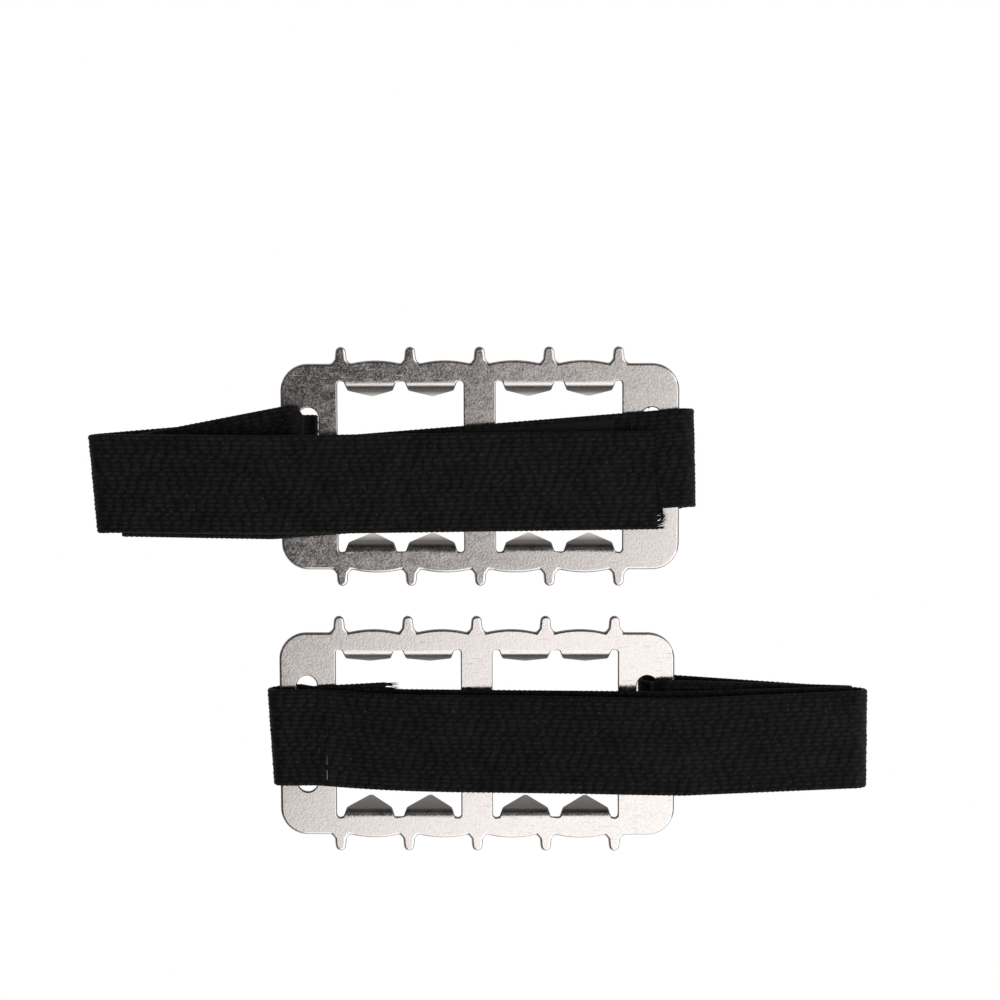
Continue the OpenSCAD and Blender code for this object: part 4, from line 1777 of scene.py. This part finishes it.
    def fray(self, station: Array, longest: float) -> MeshData:
        """Loose fibres at a cut end, in tufts that are longest near one corner.

        Each fibre leaves the end straight and sways aside with the square of its length.

        Args:
            station: The end's station, heading out of the webbing.
            longest: Length of the longest.

        Returns:
            The fibres.
        """
        across, out, along = (vectors[0] for vectors in frames(station))
        count = FRAY.fibres
        tuft = self.chance.integers(0, FRAY.tufts, count)
        middles = np.linspace(-FRAY.spread, FRAY.spread, FRAY.tufts) * WEBBING.width / 2
        leans = self.chance.normal(0.0, FRAY.tuft_lean, (FRAY.tufts, 2))
        strays = self.chance.normal(0.0, FRAY.tuft_width, count)
        aside = np.clip(middles[tuft] + strays, -FRAY.limit, FRAY.limit)
        level = self.chance.uniform(-FRAY.level, FRAY.level, count) * WEBBING.thick
        gathered = np.exp(-(((aside - FRAY.corner) / FRAY.corner_width) ** 2))
        near = FRAY.short + (1.0 - FRAY.short) * gathered
        length = longest * near * self.chance.uniform(FRAY.least, 1.0, count)
        sway = leans[tuft] + self.chance.normal(0.0, FRAY.sway, (count, 2))
        share = np.linspace(0.0, 1.0, len(FRAY.radii))
        feet = station[0, :3] + across * aside[:, None] + out * level[:, None] - along * FRAY.rooted
        reach = (length + FRAY.rooted)[:, None] * share[None, :]
        curl = length[:, None] * share[None, :] ** 2
        paths = (
            feet[:, None, :]
            + along * reach[:, :, None]
            + across * (sway[:, :1] * curl)[:, :, None]
            + out * (sway[:, 1:] * curl * FRAY.lift)[:, :, None]
        )
        return MeshData.tubes(self.cleat, paths, np.array(FRAY.radii), FRAY.sides)

    def frayed_ends(self) -> None:
        """Fibres at the cut end of the free run and of the sewn tail."""
        lay = self.cleat.lay
        free = self.route.free_station(lay.free_x, lay.end_tilt)
        tail = self.route.rows[-1:]
        for name, station, body, longest in (
            ("free_fray", free, self.body_of_tape(False), FRAY.free_longest),
            ("tail_fray", tail, "cleat", FRAY.tail_longest),
        ):
            threads = self.fray(station, longest)
            made = threads.to_object(self.cleat.node(name), self.materials.webbing)
            self.settle(made, Slot.WEBBING, body)


# Studio


@dataclass(frozen=True)
class Softbox:
    """One large square studio light, in metres and watts."""

    name: str = "key_right"
    place: Triple = (0.5, -0.3, 0.5)
    size: float = 0.5
    power: float = 0.6


@dataclass(frozen=True)
class Room:
    """The camera, the floor and the soft surroundings, in metres; the roll is in radians."""

    camera: Triple = (0.01267, 0.06089, 0.4775)
    target: Triple = (0.00399, 0.02074, 0.00747)
    roll: float = 0.00283
    lens: float = 83.45
    sensor: float = 36.0
    nearest: float = 0.01
    floor: float = 1.6
    floor_drop: float = 0.0002
    key_side: Triple = (0.75, -0.45, 0.48)
    key_edge: Span = (0.43, 0.56)
    key_glow: Span = (0.06, 1.75)
    low_edge: Span = (0.15, 0.75)
    low_glow: float = 0.15
    tint: Colour = (1.0, 0.975, 0.965, 1.0)


ROOM = Room()


class Studio:
    """Camera, light and floor."""

    def __init__(self, materials: Materials) -> None:
        """Keeps the floor's material.

        Args:
            materials: The part's materials.
        """
        self.materials = materials

    def build(self) -> None:
        """Sets the whole studio up."""
        self.camera()
        self.light(Softbox())
        self.floor()
        self.surroundings()

    @staticmethod
    def camera() -> None:
        """The camera at the photograph's angle."""
        lens = bpy.data.cameras.new("photo_camera")
        lens.lens = ROOM.lens
        lens.sensor_width = ROOM.sensor
        lens.clip_start = ROOM.nearest
        made = shown("photo_camera", lens)
        back = (Vector(ROOM.camera) - Vector(ROOM.target)).normalized()
        upright = Vector((np.sin(ROOM.roll), np.cos(ROOM.roll), 0.0))
        aside = upright.cross(back).normalized()
        turn = Matrix((aside, back.cross(aside), back)).transposed().to_4x4()
        made.matrix_world = Matrix.Translation(ROOM.camera) @ turn
        bpy.context.scene.camera = made

    @staticmethod
    def light(box: Softbox) -> None:
        """A square soft light that looks at the object.

        Args:
            box: The light.
        """
        lamp = bpy.data.lights.new(box.name, "AREA")
        lamp.size = box.size
        lamp.energy = box.power
        made = shown(box.name, lamp)
        made.location = box.place
        made.rotation_mode = "QUATERNION"
        made.rotation_quaternion = Vector(box.place).to_track_quat("Z", "Y")

    def floor(self) -> None:
        """A plain floor under the teeth."""
        half = ROOM.floor / 2
        corners = [(-half, -half, 0.0), (half, -half, 0.0), (half, half, 0.0), (-half, half, 0.0)]
        mesh = bpy.data.meshes.new("studio_floor")
        mesh.from_pydata(corners, [], [(0, 1, 2, 3)])
        mesh.materials.append(self.materials.floor)
        made = shown("studio_floor", mesh)
        made.location.z = -ROOM.floor_drop
        made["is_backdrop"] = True

    @staticmethod
    def surroundings() -> None:
        """A soft room, bright on the right and in front, and a neutral view."""
        world = bpy.data.worlds.new("studio_room")
        world.use_nodes = True
        sheet = NodeSheet(world.node_tree)
        heading = sheet.add("ShaderNodeTexCoord").outputs["Generated"]
        towards = sheet.add("ShaderNodeVectorMath", {"operation": "DOT_PRODUCT"})
        sheet.put(towards.inputs[0], heading)
        sheet.put(towards.inputs[1], ROOM.key_side)
        key = sheet.spread(towards.outputs["Value"], *ROOM.key_edge, *ROOM.key_glow)
        height = sheet.add("ShaderNodeSeparateXYZ", None, Vector=heading).outputs["Z"]
        low = sheet.spread(height, *ROOM.low_edge, ROOM.low_glow, 0.0)
        glow = sheet.math("ADD", key, low)
        room = sheet.add("ShaderNodeBackground", None, Color=ROOM.tint, Strength=glow)
        sheet.add("ShaderNodeOutputWorld", None, Surface=room.outputs[0])
        bpy.context.scene.world = world
        bpy.context.scene.view_settings.view_transform = "Standard"


class CleatScene:
    """Puts the pair together over the CAD frame."""

    def __init__(self) -> None:
        """Loads the frame and notes its size."""
        self.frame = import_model()
        self.loaded = self.corners()

    @staticmethod
    def corners() -> list[list[float]]:
        """The shown object's lowest and highest corner.

        Returns:
            The two corners.
        """
        return [list(corner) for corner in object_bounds()]

    def build(self) -> None:
        """Makes the pieces and the studio."""
        materials = Materials()
        for cleat in (UPPER, LOWER):
            CleatDresser(cleat, self.frame["nodes"], materials).dress()
        Studio(materials).build()
        bpy.context.view_layer.update()
        {"loaded": self.loaded, "dressed": self.corners()}


def main() -> None:
    """Builds the scene."""
    logging.basicConfig(level=logging.INFO, format="%(name)s: %(message)s")
    CleatScene().build()


if __name__ == "__main__":
    main()
